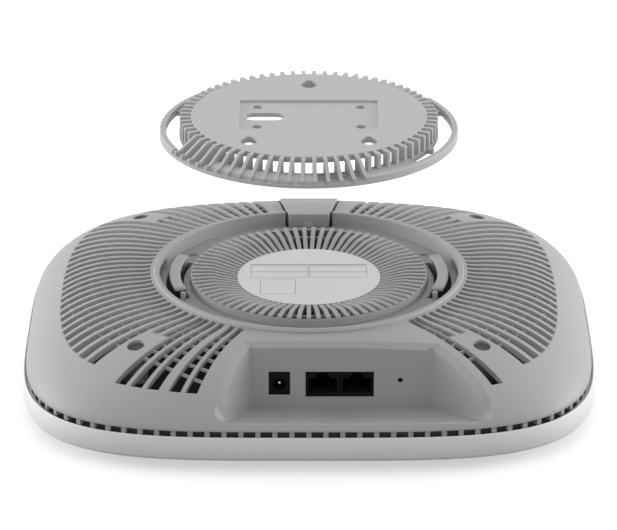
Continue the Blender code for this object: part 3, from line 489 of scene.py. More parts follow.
# Screw wells
# Four round tubes, moulded with the casing, that lead down to the screws.
wells = bmesh.new()
seat, under = SCREW_WELL_SEAT, SCREW_WELL_SEAT - SCREW_WELL_THICKNESS
bore, outside = SCREW_WELL_RADIUS, SCREW_WELL_RADIUS + SCREW_WELL_WALL
for place in screw_places:
    rings = []
    for radius, height in ((bore, None), (bore, seat), (SCREW_WELL_HOLE, seat), (SCREW_WELL_HOLE, under),
                           (outside, under), (outside, None), (bore, None)):
        ring = []
        for step in range(SCREW_WELL_STEPS):
            turn = -2 * math.pi * step / SCREW_WELL_STEPS
            x, y = place.x + radius * math.cos(turn), place.y + radius * math.sin(turn)
            ring.append((x, y, surface_at(x, y) - SCREW_WELL_DROP if height is None else height))
        rings.append(ring)
    add_loft(wells, rings)
bmesh.ops.remove_doubles(wells, verts=wells.verts, dist=1e-4)
screw_wells = make_piece("casing_screw_wells", wells, grey_abs)
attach(screw_wells, "access_point")

# Louvre bars
# Thin rings under the louvres, moulded with the casing, that tie its ribs together.
BAR_RADII = [83.2 + 5.82 * step for step in range(6)]
BAR_WIDTH = 1.2
BAR_DROP = 1.5
BAR_HEIGHT = 1.3
BAR_FIELDS = ((-54.5, 79.0), (101.0, 248.5))
BAR_STEP = 1.5
BAR_CLEARANCE = 1.4


def polar(radius, degrees, height=0.0):
    """A point at a distance and an angle from the part's axis."""
    turn = math.radians(degrees)
    return Vector((radius * math.cos(turn), radius * math.sin(turn), height))


def add_run(bm, sections):
    """Adds a closed bar through a row of sections of equally many points."""
    rows = [[bm.verts.new(point) for point in section] for section in sections]
    for first, second in zip(rows, rows[1:]):
        for i in range(len(first)):
            j = (i + 1) % len(first)
            bm.faces.new((first[i], first[j], second[j], second[i]))
    bm.faces.new(rows[0])
    bm.faces.new(rows[-1][::-1])


bars = bmesh.new()
for radius in BAR_RADII:
    for start, end in BAR_FIELDS:
        run = []
        steps = round((end - start) / BAR_STEP)
        for i in range(steps + 1):
            degrees = start + (end - start) * i / steps
            middle = polar(radius, degrees)
            to_screw = min((middle.to_2d() - place).length for place in screw_places)
            clear = to_screw > SCREW_WELL_RADIUS + BAR_CLEARANCE
            if clear:
                top = surface_at(middle.x, middle.y) - BAR_DROP
                inner, outer = radius - BAR_WIDTH / 2, radius + BAR_WIDTH / 2
                run.append([polar(outer, degrees, top), polar(outer, degrees, top - BAR_HEIGHT),
                            polar(inner, degrees, top - BAR_HEIGHT), polar(inner, degrees, top)])
            if run and (not clear or i == steps):
                if len(run) > 1:
                    add_run(bars, run)
                run = []
louvre_bars = make_piece("louvre_bars", bars, grey_abs)
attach(louvre_bars, "access_point")

# Port bay
# A recess in the front of the casing for the sockets, moulded with it: a plain back wall, sides that open
# towards the front, a floor that rises to a thin edge, and a chamfered lip all round.
BAY_WALL = 2.2
BAY_WALL_GAP = 0.4
BAY_SHARP = 13.0
LIP = 2.2
LIP_RISE = 0.3
LIP_SINK = 1.6
FLOOR_LIP = 0.4
CORNER_PULL = 2.2
CORNER_SPREAD = 5.0
BAY_FLOOR_DROP = 33.4
BAY_FLOOR_RAMP = 0.234
BAY_FOOT = {-1: (-25.2, 0.40), 1: (54.3, 0.82)}
BAY_HEAD = {-1: (-26.3, 0.444), 1: (55.5, 0.872)}
BAY_FILLET = {-1: 0.2, 1: 0.26}
LEAST_FILLET, INNER_FILLET, LIP_FILLET = 0.3, 0.14, 0.6
SWELL = 0.4
FARTHEST = 60.0
WALL_POINTS = 16
CORNER_POINTS = 8
FLOOR_POINTS = 24
BACK_POINTS = 24
BAY_WALL_Y = box_of("port_bay")[1].y - BAY_WALL


def inside_casing(point, sink):
    """True where a point lies under the casing's outer surface, let down by a distance."""
    degrees = math.degrees(math.atan2(point.y * HALF_WIDTH, point.x * HALF_DEPTH))
    edge = casing_point(degrees, 1.0).to_2d().length
    swell = 1 + SWELL * sink / edge
    if point.to_2d().length * swell >= edge:
        return False
    return point.z + sink < surface_at(point.x * swell, point.y * swell)


def bay_section(reach, grow):
    """Cross-section of the bay at a distance in front of its back wall, from left top round to right top."""
    reach_in = max(reach, 0.0)
    floor = RIM_TOP - BAY_FLOOR_DROP + BAY_FLOOR_RAMP * max(reach - grow, 0.0) - (FLOOR_LIP if grow else 0.0)
    head = DECK_TOP + LIP_RISE if grow else DECK_TOP - LIP
    y = BAY_WALL_Y - reach + grow
    sides = []
    for side in (-1, 1):
        fillet = BAY_FILLET[side] * reach_in * (1.0 if grow else INNER_FILLET)
        radius = LEAST_FILLET + fillet + LIP_FILLET * grow
        spread = grow * math.hypot(1, BAY_HEAD[side][1])
        foot = BAY_FOOT[side][0] + side * (BAY_FOOT[side][1] * reach_in + spread)
        top = BAY_HEAD[side][0] + side * (BAY_HEAD[side][1] * reach_in + spread)
        corner, upper = Vector((foot, y, floor)), Vector((top, y, head))
        up = (upper - corner).normalized()
        start, finish = corner + up * radius, corner - Vector((side * radius, 0, 0))
        points = [upper.lerp(start, i / WALL_POINTS) for i in range(WALL_POINTS)]
        for i in range(CORNER_POINTS + 1):
            t = i / CORNER_POINTS
            points.append(start * (1 - t) ** 2 + corner * 2 * t * (1 - t) + finish * t ** 2)
        sides.append(points)
    left, right = sides
    floor_points = [left[-1].lerp(right[-1], i / FLOOR_POINTS) for i in range(1, FLOOR_POINTS)]
    return left + floor_points + right[::-1]


def bay_contour(grow, sink, floor_sink):
    """Where the bay's sides and floor run out through the casing's surface."""
    count = len(bay_section(0.0, grow))
    foot_index = WALL_POINTS + CORNER_POINTS // 2
    feet = (foot_index, count - 1 - foot_index)
    contour = []
    for i in range(count):
        round_corner = (min(i, count - 1 - i) - WALL_POINTS) / CORNER_POINTS
        depth = sink + (floor_sink - sink) * min(max(round_corner, 0.0), 1.0)
        near, far = 0.0, FARTHEST
        for _ in range(30):
            middle = (near + far) / 2
            if inside_casing(bay_section(middle, grow)[i], depth):
                near = middle
            else:
                far = middle
        if not grow:
            section = bay_section(near, grow)
            gap = min((section[i] - section[foot]).length for foot in feet)
            near -= CORNER_PULL * math.exp(-(gap / CORNER_SPREAD) ** 2)
        point = bay_section(near, grow)[i]
        point.z = min(point.z, surface_at(point.x, point.y) - depth)
        contour.append(point)
    return contour


lip_outer = bay_contour(LIP, 0.0, 0.0)
lip_inner = bay_contour(0.0, LIP_SINK, FLOOR_LIP)
wall_edge = bay_section(0.0, 0.0)
for i in range(1, BACK_POINTS):
    along = i / BACK_POINTS
    x = lip_outer[-1].x + (lip_outer[0].x - lip_outer[-1].x) * along
    lip_outer.append(Vector((x, BAY_WALL_Y + LIP, surface_at(x, BAY_WALL_Y + LIP))))
    x = wall_edge[-1].x * (1 - along) + wall_edge[0].x * along
    lip_inner.append(Vector((x, BAY_WALL_Y, surface_at(x, BAY_WALL_Y) - LIP)))
bay = bmesh.new()
outer_row = [bay.verts.new(point) for point in lip_outer]
inner_row = [bay.verts.new(point) for point in lip_inner]
back_row = [bay.verts.new(point) for point in wall_edge]
for i in range(len(outer_row)):
    j = (i + 1) % len(outer_row)
    bay.faces.new((outer_row[i], outer_row[j], inner_row[j], inner_row[i]))
for i in range(len(back_row) - 1):
    bay.faces.new((inner_row[i], inner_row[i + 1], back_row[i + 1], back_row[i]))
bay.faces.new(back_row + inner_row[len(back_row):])
bmesh.ops.remove_doubles(bay, verts=bay.verts, dist=0.02)
bmesh.ops.recalc_face_normals(bay, faces=bay.faces)
upright = [face for face in bay.faces if abs(face.normal.y) > 0.9]
if max(upright, key=lambda face: face.calc_area()).normal.y > 0:
    bmesh.ops.reverse_faces(bay, faces=bay.faces)
port_bay = make_piece("port_bay_shell", bay, grey_abs, is_open=True, sharp=BAY_SHARP)
add_wall(port_bay, BAY_WALL - BAY_WALL_GAP)


def add_block(bm, low, high, grow=0.0):
    """Adds a box between two corners, grown by a distance."""
    low, high = Vector(low) - Vector((grow,) * 3), Vector(high) + Vector((grow,) * 3)
    sizes = Matrix.Diagonal((*(high - low), 1.0))
    bmesh.ops.create_cube(bm, size=1.0, matrix=Matrix.Translation((low + high) / 2) @ sizes)


SOCKET_GAP = 0.15
RESET_HOLE_RADIUS = 1.25
WINDOW_REACH = Vector((0, 4, 0))
windows = bmesh.new()
add_block(windows, box_of("ethernet_jack_1")[0] - WINDOW_REACH, box_of("ethernet_jack_2")[1], SOCKET_GAP)
dc_low, dc_high = box_of("dc_jack")
add_block(windows, dc_low - WINDOW_REACH, dc_high, SOCKET_GAP)
reset_place = sum(box_of("reset_button"), Vector()) / 2
reset_place.y = BAY_WALL_Y
add_cylinder(windows, RESET_HOLE_RADIUS, reset_place - WINDOW_REACH, reset_place + WINDOW_REACH, 32)
cut(port_bay, windows, BAY_SHARP)
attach(port_bay, "access_point")
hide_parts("port_bay")

opening = bmesh.new()
rings = []
for reach in (0.0, 0.5, *range(4, 61, 4)):
    ring = bay_section(reach, LIP)
    rings.append(ring + [Vector((point.x, point.y, 2 * RIM_TOP)) for point in (ring[-1], ring[0])])
add_loft(opening, rings)
for ring_faces in (rings[0], rings[-1]):
    opening.faces.new([opening.verts.new(point) for point in ring_faces])
bmesh.ops.remove_doubles(opening, verts=opening.verts, dist=1e-3)
cut(rear_casing, opening)

# Release tab
# A latch moulded with the casing at the back of the rim: a thumb presses it down to free the plate. It has a
# shallow thumb mark on top and a small round catch at the foot of its inner wall.
TAB_SLIT = 1.3
TAB_FRONT_SLIT = 0.35
TAB_FOOT = 2.4
TAB_ROUND = 0.5
THUMB_RADIUS = 30.0
THUMB_SINK = 0.35
THUMB_SHIFT = (1.0, -1.0)
THUMB_SHARP = 8.0
CATCH_SIZE = (2.2, 1.2, 2.6)
CATCH_DROP = 6.2
tab_low, tab_high = box_of("release_tab")
TAB_INNER_Y = tab_low.y
TAB_OUTER_Y = tab_high.y
TAB_SHOULDER_Y = 80.0
TAB_INNER_WIDTH = 18.9
TAB_OUTER_WIDTH = tab_high.x - tab_low.x
TAB_OUTER_DROP = 2.1


def tab_corners(slit, low, high=None):
    """Corner points of the tab, or of the notch around it when a slit and a height are given."""
    corners = []
    front = TAB_INNER_Y - min(slit, TAB_FRONT_SLIT)
    for y, drop in ((front, 0.0), (TAB_SHOULDER_Y, 0.0), (TAB_OUTER_Y + slit, TAB_OUTER_DROP)):
        along = min(max((y - TAB_INNER_Y) / (TAB_OUTER_Y - TAB_INNER_Y), 0.0), 1.0)
        half = (TAB_INNER_WIDTH + (TAB_OUTER_WIDTH - TAB_INNER_WIDTH) * along) / 2 + slit
        top = RIM_TOP - drop if high is None else high
        corners += [(x, y, z) for x in (-half, half) for z in (low, top)]
    return corners


def tab_notch():
    """The room around the tab, right through the casing."""
    bm = bmesh.new()
    add_hull(bm, tab_corners(TAB_SLIT, 0.0, 2 * RIM_TOP))
    return bm


tab = bmesh.new()
add_hull(tab, tab_corners(0.0, tab_low.z - TAB_FOOT))
bmesh.ops.dissolve_limit(tab, angle_limit=math.radians(1.0), verts=tab.verts, edges=tab.edges)
release_tab = make_piece("release_tab_body", tab, grey_abs)
add_rounding(release_tab, TAB_ROUND, 3)
bake(release_tab)
thumb = bmesh.new()
thumb_place = (THUMB_SHIFT[0], TAB_SHOULDER_Y + THUMB_SHIFT[1], RIM_TOP + THUMB_RADIUS - THUMB_SINK)
bmesh.ops.create_uvsphere(thumb, u_segments=96, v_segments=96, radius=THUMB_RADIUS,
                          matrix=Matrix.Translation(thumb_place))
cut(release_tab, thumb, THUMB_SHARP)
catch = bmesh.new()
bmesh.ops.create_uvsphere(catch, u_segments=32, v_segments=16, radius=1.0,
                          matrix=Matrix.Translation((0, TAB_INNER_Y, RIM_TOP - CATCH_DROP))
                          @ Matrix.Diagonal((*CATCH_SIZE, 1.0)))
tab_catch = make_piece("release_tab_catch", catch, grey_abs)
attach(tab_catch, "release_tab")
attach(release_tab, "release_tab")
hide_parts("release_tab")
cut(rear_casing, tab_notch())
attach(rear_casing, "access_point")
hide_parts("rear_casing")

# Mounting well
# The round recess in the middle of the back that the plate turns into: a chamfered rim, a flat floor, and two
# hook arms that stand over slots in it. It is moulded with the casing.
RIM_FLAT = 2.1
RIM_BEVEL = 0.45
RIM_BEND = 0.3
RIM_EDGE = ((-0.2, 0.0), (0.1, -0.15))
WELL_DEPTH = 6.5
WELL_RADIUS = 69.4
WELL_STEPS = 240
WELL_SHARP = 15.0
FLOOR_ROUND = 0.6
FLOOR_INNER_RADIUS = 55.3
FLOOR_MARK = (54.2, 30.8)
FLOOR_MARK_RADIUS = 2.0
FLOOR_MARK_DEPTH = 0.7
WELL_FLOOR = RIM_TOP - WELL_DEPTH
HOOK_INNER, HOOK_OUTER = 59.6, 64.7
HOOK_BACK, HOOK_FRONT, HOOK_ROOT = 19.0, -18.5, 8.0
HOOK_TOP = RIM_TOP - 1.6
HOOK_UNDER = WELL_FLOOR + 2.8
HOOK_ROUND = 0.8
HOOK_SLOT_MARGIN = 1.5
HOOK_SLOT_FRONT = HOOK_FRONT - 2.0
HOOK_SLOT_BACK = 21.0
HOOK_ROOT_INNER = 61.0
HOOK_ROOT_GAP = 0.2
HOOK_ROOT_FRONT = HOOK_BACK - HOOK_ROOT
CATCH_MARGIN = 0.3


def turned(name, profile, material, steps=WELL_STEPS, sharp=WELL_SHARP):
    """Turns a closed profile of (radius, height) points about the part's axis."""
    bm = bmesh.new()
    rings = []
    for radius, height in profile + profile[:1]:
        turns = [-2 * math.pi * step / steps for step in range(steps)]
        rings.append([(radius * math.cos(turn), radius * math.sin(turn), height) for turn in turns])
    add_loft(bm, rings)
    bmesh.ops.remove_doubles(bm, verts=bm.verts, dist=1e-4)
    return make_piece(name, bm, material, sharp=sharp)


def add_sector(bm, inner, outer, start, end, low, high, step=2.0):
    """Adds a piece of a ring between two angles and two heights."""
    count = max(2, math.ceil((end - start) / step))
    angles = [start + (end - start) * i / count for i in range(count + 1)]
    add_run(bm, [[polar(outer, a, high), polar(outer, a, low), polar(inner, a, low), polar(inner, a, high)]
                 for a in angles])


def on_side(side, front, back):
    """Two angles of a side axis as a start and an end: the left side mirrors the right."""
    return (front, back) if side == 1 else (180 - back, 180 - front)


well = turned("mounting_well_floor", [
    (FLOOR_INNER_RADIUS, WELL_FLOOR), (WELL_RADIUS - FLOOR_ROUND, WELL_FLOOR),
    (WELL_RADIUS - FLOOR_ROUND / 4, WELL_FLOOR + FLOOR_ROUND / 4), (WELL_RADIUS, WELL_FLOOR + FLOOR_ROUND),
    (WELL_RADIUS, RIM_TOP - RIM_BEVEL), (WELL_RADIUS + RIM_BEVEL * RIM_BEND, RIM_TOP - RIM_BEVEL * RIM_BEND),
    (WELL_RADIUS + RIM_BEVEL, RIM_TOP), *((WELL_RADIUS + RIM_FLAT + x, RIM_TOP + z) for x, z in RIM_EDGE),
    (RIM_RADIUS, DECK_TOP + RIM_FLARE - 0.1), (RIM_RADIUS, well_low.z), (FLOOR_INNER_RADIUS, well_low.z)],
    grey_abs)
hook_slots, hook_backs, hooks = bmesh.new(), bmesh.new(), bmesh.new()
slot_inner, slot_outer = HOOK_INNER - HOOK_SLOT_MARGIN, HOOK_OUTER + HOOK_SLOT_MARGIN
slot_heights = (well_low.z - 2, RIM_TOP)
for side in (1, -1):
    add_sector(hook_slots, slot_inner, slot_outer,
               *on_side(side, HOOK_SLOT_FRONT, HOOK_ROOT_FRONT), *slot_heights)
    add_sector(hook_backs, slot_inner, HOOK_ROOT_INNER - HOOK_ROOT_GAP,
               *on_side(side, HOOK_ROOT_FRONT - 0.1, HOOK_SLOT_BACK), *slot_heights)
    add_sector(hooks, HOOK_INNER, HOOK_OUTER, *on_side(side, HOOK_FRONT, HOOK_BACK), HOOK_UNDER, HOOK_TOP)
pockets = bmesh.new()
pocket_x, pocket_y = CATCH_SIZE[0] + CATCH_MARGIN, CATCH_SIZE[1] + CATCH_MARGIN
add_block(pockets, (-pocket_x, TAB_INNER_Y - pocket_y, 0.0), (pocket_x, TAB_INNER_Y, RIM_TOP))
for sign in (1, -1):
    x, y = sign * FLOOR_MARK[0], FLOOR_MARK[1]
    add_cylinder(pockets, FLOOR_MARK_RADIUS, (x, y, WELL_FLOOR - FLOOR_MARK_DEPTH), (x, y, RIM_TOP), 32)
for hollow in (hook_slots, hook_backs, tab_notch(), pockets):
    cut(well, hollow, WELL_SHARP)
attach(well, "access_point")
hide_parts("mounting_well")
hook_arms = make_piece("mounting_well_hook_arms", hooks, grey_abs)
add_rounding(hook_arms, HOOK_ROUND, 3)
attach(hook_arms, "access_point")

# Hook roots and pegs
# The posts that carry the hook arms at their back ends, and a round peg in front of each arm that stops the
# plate's turn. All are moulded up from the well's floor.
PEG_PLACES = ((-57.7, -22.5), (58.0, -21.5))
PEG_RADIUS = 1.25
PEG_TOP = RIM_TOP - 2.8
POST_FOOT = WELL_FLOOR - 1
POST_ROUND = 0.25
posts = bmesh.new()
for side in (1, -1):
    add_sector(posts, HOOK_ROOT_INNER, HOOK_OUTER - 0.1,
               *on_side(side, HOOK_ROOT_FRONT, HOOK_BACK - 0.1), POST_FOOT, HOOK_UNDER + 0.5)
for x, y in PEG_PLACES:
    add_cylinder(posts, PEG_RADIUS, (x, y, POST_FOOT), (x, y, PEG_TOP), 32)
hook_posts = make_piece("mounting_well_posts", posts, grey_abs)
add_rounding(hook_posts, POST_ROUND)
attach(hook_posts, "access_point")

# Finned hub
# A fan of thin fins round the label that lets warm air out: each fin rises from the label's edge to a flat
# top. A ring half-way and a collar round the outside tie them together. It is moulded with the well.
FIN_COUNT = 75
FIN_WIDTH = 1.9
FIN_ROUND = 0.2
FIN_RADIUS = 54.5
FIN_SHOULDER = 45.0
FIN_TOP = RIM_TOP - 1.7
FIN_STEP = (1.4, 0.2)
FIN_TIP = (1.5, 0.5)
COLLAR_INNER, COLLAR_OUTER, COLLAR_DROP = 53.5, 54.85, 1.1
TIE_INNER, TIE_OUTER, TIE_DROP = 46.2, 48.0, 2.2
HUB_DROP = 0.6
LABEL_RADIUS = 33.5
LABEL_TOP = RIM_TOP - 4.3
NEAR_AXIS = 0.01


def add_fin(bm, side, width, turn):
    """Adds an upright fin with a side outline of (radius, height) points, turned about the part's axis."""
    spin = Matrix.Rotation(turn, 4, "Z")
    near, far = ([bm.verts.new(spin @ Vector((radius, edge, height))) for radius, height in side]
                 for edge in (-width / 2, width / 2))
    bm.faces.new(near)
    bm.faces.new(far[::-1])
    for a in range(len(side)):
        b = (a + 1) % len(side)
        bm.faces.new((near[b], near[a], far[a], far[b]))


def tube(name, inner, outer, top, bottom):
    """A plain grey tube about the part's axis."""
    return turned(name, [(inner, top), (outer, top), (outer, bottom), (inner, bottom)], grey_abs)


fins = bmesh.new()
step_radius, step_top = FIN_RADIUS + FIN_STEP[0], WELL_FLOOR - FIN_STEP[1]
fin_foot, fin_tip = well_low.z + 0.2, LABEL_RADIUS - FIN_TIP[0]
fin_side = [(fin_tip, fin_foot), (step_radius, fin_foot), (step_radius, step_top), (FIN_RADIUS, step_top),
            (FIN_RADIUS, FIN_TOP), (FIN_SHOULDER, FIN_TOP), (LABEL_RADIUS, LABEL_TOP - 0.2),
            (fin_tip, LABEL_TOP - FIN_TIP[1])]
for i in range(FIN_COUNT):
    add_fin(fins, fin_side, FIN_WIDTH, 2 * math.pi * (i + 0.5) / FIN_COUNT + math.pi / 2)
hub_fins = make_piece("mounting_well_fins", fins, grey_abs)
add_rounding(hub_fins, FIN_ROUND)
collar = tube("mounting_well_collar", COLLAR_INNER, COLLAR_OUTER, FIN_TOP - COLLAR_DROP, well_low.z + 0.3)
tie_ring = tube("mounting_well_tie_ring", TIE_INNER, TIE_OUTER, FIN_TOP - TIE_DROP, well_low.z + 0.4)
hub_disc = tube("mounting_well_hub", NEAR_AXIS, LABEL_RADIUS, LABEL_TOP - HUB_DROP, well_low.z)
for piece in (hub_fins, collar, tie_ring, hub_disc):
    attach(piece, "access_point")

# Rating label
# A round polyester label stuck on the hub, with plain ruled boxes printed on it.
LABEL_THICKNESS = 0.3
LABEL_EDGE = LABEL_RADIUS - 0.3
LABEL_BEVEL = 0.05
INK_RISE = 0.02
LINE = 0.3
RULED_BOXES = ((-27.0, 5.2, -0.3, 12.2), (0.3, 5.2, 27.0, 12.2), (-27.0, -1.5, -0.3, 5.5),
               (0.3, -1.5, 27.0, 5.5), (-22.5, -21.0, -6.0, -4.0))
RULED_BAR = ((-27.0, 13.2), (27.0, 14.6))
# Polyester film with a satin face.
label_film = moulded_plastic("satin_polyester_label", "#E2E2E2", 0.38, 0.8, 0.004, 0.01)
label = turned("rating_label_film", [
    (NEAR_AXIS, LABEL_TOP), (LABEL_EDGE - LABEL_BEVEL, LABEL_TOP), (LABEL_EDGE, LABEL_TOP - LABEL_BEVEL),
    (LABEL_EDGE, LABEL_TOP - LABEL_THICKNESS), (NEAR_AXIS, LABEL_TOP - LABEL_THICKNESS)], label_film)
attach(label, "access_point")
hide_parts("rating_label")
strokes = [RULED_BAR]
for x0, y0, x1, y1 in RULED_BOXES:
    strokes += [((x0, y0), (x1, y0 + LINE)), ((x0, y1 - LINE), (x1, y1)),
                ((x0, y0), (x0 + LINE, y1)), ((x1 - LINE, y0), (x1, y1))]
print_lines = bmesh.new()
for low, high in strokes:
    add_block(print_lines, (*low, LABEL_TOP - LABEL_BEVEL), (*high, LABEL_TOP + INK_RISE))
# Thin grey printing ink.
label_ink = moulded_plastic("grey_label_ink", "#A4A4A4", 0.5, 0.5, 0.002)
label_print = make_piece("rating_label_lines", print_lines, label_ink)
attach(label_print, "access_point")

# Network sockets
# Two sockets for network plugs side by side behind the bay's wall, moulded in black PBT, each with a stepped
# hollow for the plug and its latch.
PLUG_WIDTH = 12.6
PLUG_HEIGHT = 7.0
PLUG_FLOOR = 2.0
PLUG_DEPTH = 14.0
LATCH_STEPS = ((6.6, 1.25), (4.3, 2.5))
# Matt black PBT: it hardly shines in the shade of the bay.
black_pbt = moulded_plastic("black_matt_pbt", "#0B0B0B", 0.7, 0.4, 0.01)
black_pbt.node_tree.nodes["Principled BSDF"].inputs["Specular IOR Level"].default_value = 0.15
for number in (1, 2):
    low, high = box_of(f"ethernet_jack_{number}")
    middle, floor = (low.x + high.x) / 2, low.z + PLUG_FLOOR
    jack_body = bmesh.new()
    add_block(jack_body, low, high)
    jack = make_piece(f"ethernet_jack_{number}_body", jack_body, black_pbt)
    hollows = [(PLUG_WIDTH, floor, PLUG_DEPTH, PLUG_HEIGHT)]
    hollows += [(width, floor + 1, PLUG_DEPTH - 1, PLUG_HEIGHT + height) for width, height in LATCH_STEPS]
    for width, foot, depth, height in hollows:
        hollow = bmesh.new()
        add_block(hollow, (middle - width / 2, low.y - 1, foot),
                  (middle + width / 2, low.y + depth, floor + height))
        cut(jack, hollow)
    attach(jack, "access_point")
    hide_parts(f"ethernet_jack_{number}")

# Socket contacts
# Gold-plated bronze wires that spring down from the back of each socket.
CONTACT_COUNT = 8
CONTACT_PITCH = 1.02
CONTACT_RADIUS = 0.23
CONTACT_START = 5.0
CONTACT_RISE = (1.0, 3.6)
contacts = bmesh.new()
for number in (1, 2):
    low, high = box_of(f"ethernet_jack_{number}")
    front, back = low.y + CONTACT_START, low.y + PLUG_DEPTH - 0.1
    front_z, back_z = (low.z + PLUG_FLOOR + rise for rise in CONTACT_RISE)
    for i in range(CONTACT_COUNT):
        x = (low.x + high.x) / 2 + (i - (CONTACT_COUNT - 1) / 2) * CONTACT_PITCH
        add_cylinder(contacts, CONTACT_RADIUS, (x, front, front_z), (x, back, back_z), 10)


def plain_metal(name, hex_colour, roughness, grain_mm):
    """A metal with a faint unevenness in its shine."""
    material, tree, shader = new_material(name)
    shader.inputs["Metallic"].default_value = 1.0
    shader.inputs["Base Color"].default_value = linear(hex_colour)
    add_grain(tree, shader, grain_mm, roughness, 0.06)
    return material


# Gold flash over bronze: warm and bright where light reaches it.
socket_contacts = make_piece("ethernet_contacts", contacts, plain_metal("gilt_bronze", "#8A7444", 0.35, 1.0))
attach(socket_contacts, "access_point")

# Power socket
# A black PBT block with a round hole for a barrel plug and a plated centre pin.
DC_HOLE_RADIUS = 2.95
DC_HOLE_DEPTH = 9.5
DC_HOLE_DROP = 6.0
DC_PIN_RADIUS = 0.8
DC_PIN_ROUND = 0.45
dc_body, dc_hole = bmesh.new(), bmesh.new()
add_block(dc_body, dc_low, dc_high)
dc_middle = Vector(((dc_low.x + dc_high.x) / 2, dc_low.y, dc_high.z - DC_HOLE_DROP))
add_cylinder(dc_hole, DC_HOLE_RADIUS, dc_middle - Vector((0, 1, 0)),
             dc_middle + Vector((0, DC_HOLE_DEPTH, 0)), 64)
dc_jack = make_piece("dc_jack_body", dc_body, black_pbt)
cut(dc_jack, dc_hole)
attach(dc_jack, "access_point")
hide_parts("dc_jack")
pin_low, pin_high = box_of("dc_pin")
pin = bmesh.new()
pin_ends = [(dc_middle.x, y, dc_middle.z) for y in (pin_low.y, pin_high.y)]
add_cylinder(pin, DC_PIN_RADIUS, *pin_ends, 32)
# Nickel plating: bright and smooth.
dc_pin = make_piece("dc_pin_post", pin, plain_metal("bright_nickel", "#E8E6E0", 0.2, 0.8))
add_rounding(dc_pin, DC_PIN_ROUND, 4)
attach(dc_pin, "access_point")
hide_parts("dc_pin")

# Casing screws
# Steel pan-head screws with a cross recess, zinc plated, at the bottom of the four wells.
HEAD_RADIUS = 2.9
HEAD_HEIGHT = 2.0
HEAD_DOME = ((0.55, 0.1), (0.85, 0.5), (1.0, 1.2))
SHANK_RADIUS = 1.5
CROSS_LENGTH = 3.2
CROSS_WIDTH = 0.8
CROSS_DEPTH = 1.2
SCREW_STEPS = 40
# Zinc-plated steel, a little dull.
zinc_steel = plain_metal("zinc_plated_steel", "#B9BBBD", 0.35, 1.2)
for number, place in enumerate(screw_places, 1):
    low, high = box_of(f"casing_screw_{number}")
    seat = high.z - HEAD_HEIGHT
    profile = [(NEAR_AXIS, high.z), *((HEAD_RADIUS * share, high.z - drop) for share, drop in HEAD_DOME),
               (HEAD_RADIUS, seat), (SHANK_RADIUS, seat), (SHANK_RADIUS, low.z), (NEAR_AXIS, low.z)]
    screw = turned(f"casing_screw_{number}_pan_head", profile, zinc_steel, SCREW_STEPS)
    for length, width in ((CROSS_LENGTH, CROSS_WIDTH), (CROSS_WIDTH, CROSS_LENGTH)):
        cross = bmesh.new()
        add_block(cross, (-length / 2, -width / 2, high.z - CROSS_DEPTH), (length / 2, width / 2, high.z + 1))
        cut(screw, cross)
    screw.data.transform(Matrix.Translation((place.x * MM, place.y * MM, 0.0)))
    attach(screw, "access_point")
    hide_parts(f"casing_screw_{number}")

# Mounting plate
# The round plate that screws to the ceiling, moulded in grey ABS: a flat disc with a shallow pocket, screw
# holes, keyholes and a cable slot, carried on a ring of upright ribs.
DISC_RADIUS = 53.9
DISC_THICKNESS = 2.9
DISC_BEVEL = 0.3
POCKET = (63.3, 37.7, -0.5, 1.0)
BOX_HOLES = [(sign * 23.6, y) for sign in (1, -1) for y in (11.9, -13.5)]
BOX_HOLE_RADIUS = 2.3
CABLE_SLOT = (-20.2, -0.5, 18.4, 9.3)
KEYHOLES = ((0.0, 39.4), (-27.0, -34.3), (27.0, -34.3))
KEYHOLE_RADIUS = 4.0
KEYHOLE_NECK = 4.0
KEYHOLE_FRONT, KEYHOLE_BACK = -4.6, 5.8
BEND_STEPS = 16
NECK_STEPS = 8
plate_low, plate_high = box_of("mounting_plate")
PLATE_TOP, PLATE_BOTTOM = plate_high.z, plate_low.z
# The casing's matt ABS, coloured a lighter grey here as painted light on the plate.
plate_painted_light_abs = moulded_plastic("plate_grey_abs_painted_light", "#BABABA", 0.55, 0.6, 0.02)
DISC_UNDER = PLATE_TOP - DISC_THICKNESS
disc_profile = [(NEAR_AXIS, PLATE_TOP), (DISC_RADIUS - DISC_BEVEL, PLATE_TOP),
                (DISC_RADIUS, PLATE_TOP - DISC_BEVEL), (DISC_RADIUS, DISC_UNDER), (NEAR_AXIS, DISC_UNDER)]
disc = turned("mounting_plate_disc", disc_profile, plate_painted_light_abs)
through = (DISC_UNDER - DISC_THICKNESS, PLATE_TOP + 2)
holes = bmesh.new()
for x, y in BOX_HOLES:
    add_cylinder(holes, BOX_HOLE_RADIUS, (x, y, through[0]), (x, y, through[1]), 32)
slot_x, slot_y, slot_length, slot_width = CABLE_SLOT
slot_points = []
slot_reach = (slot_length - slot_width) / 2
for sign in (1, -1):
    for step in range(BEND_STEPS + 1):
        bend = polar(slot_width / 2, -90 + 180 * step / BEND_STEPS)
        slot_points.append((slot_x + sign * (slot_reach + bend.x), slot_y + sign * bend.y))
add_prism(holes, slot_points, *through)
across = KEYHOLE_NECK / 2
neck = math.degrees(math.asin(across / KEYHOLE_RADIUS))
for x, y in KEYHOLES:
    points = []
    for sign, end in ((1, KEYHOLE_BACK), (-1, KEYHOLE_FRONT)):
        for step in range(BEND_STEPS + 1):
            bend = polar(KEYHOLE_RADIUS, (180 - 2 * neck) * (step / BEND_STEPS - 0.5)) * sign
            points.append((x + bend.x, y + bend.y))
        bow = min(across, abs(end) - math.sqrt(KEYHOLE_RADIUS ** 2 - across ** 2))
        for step in range(NECK_STEPS + 1):
            turn = math.pi * step / NECK_STEPS
            points.append((x + sign * across * math.cos(turn), y + end - sign * bow * (1 - math.sin(turn))))
    add_prism(holes, points, *through)
cut(disc, holes)
pocket = bmesh.new()
pocket_width, pocket_depth, pocket_y, pocket_sink = POCKET
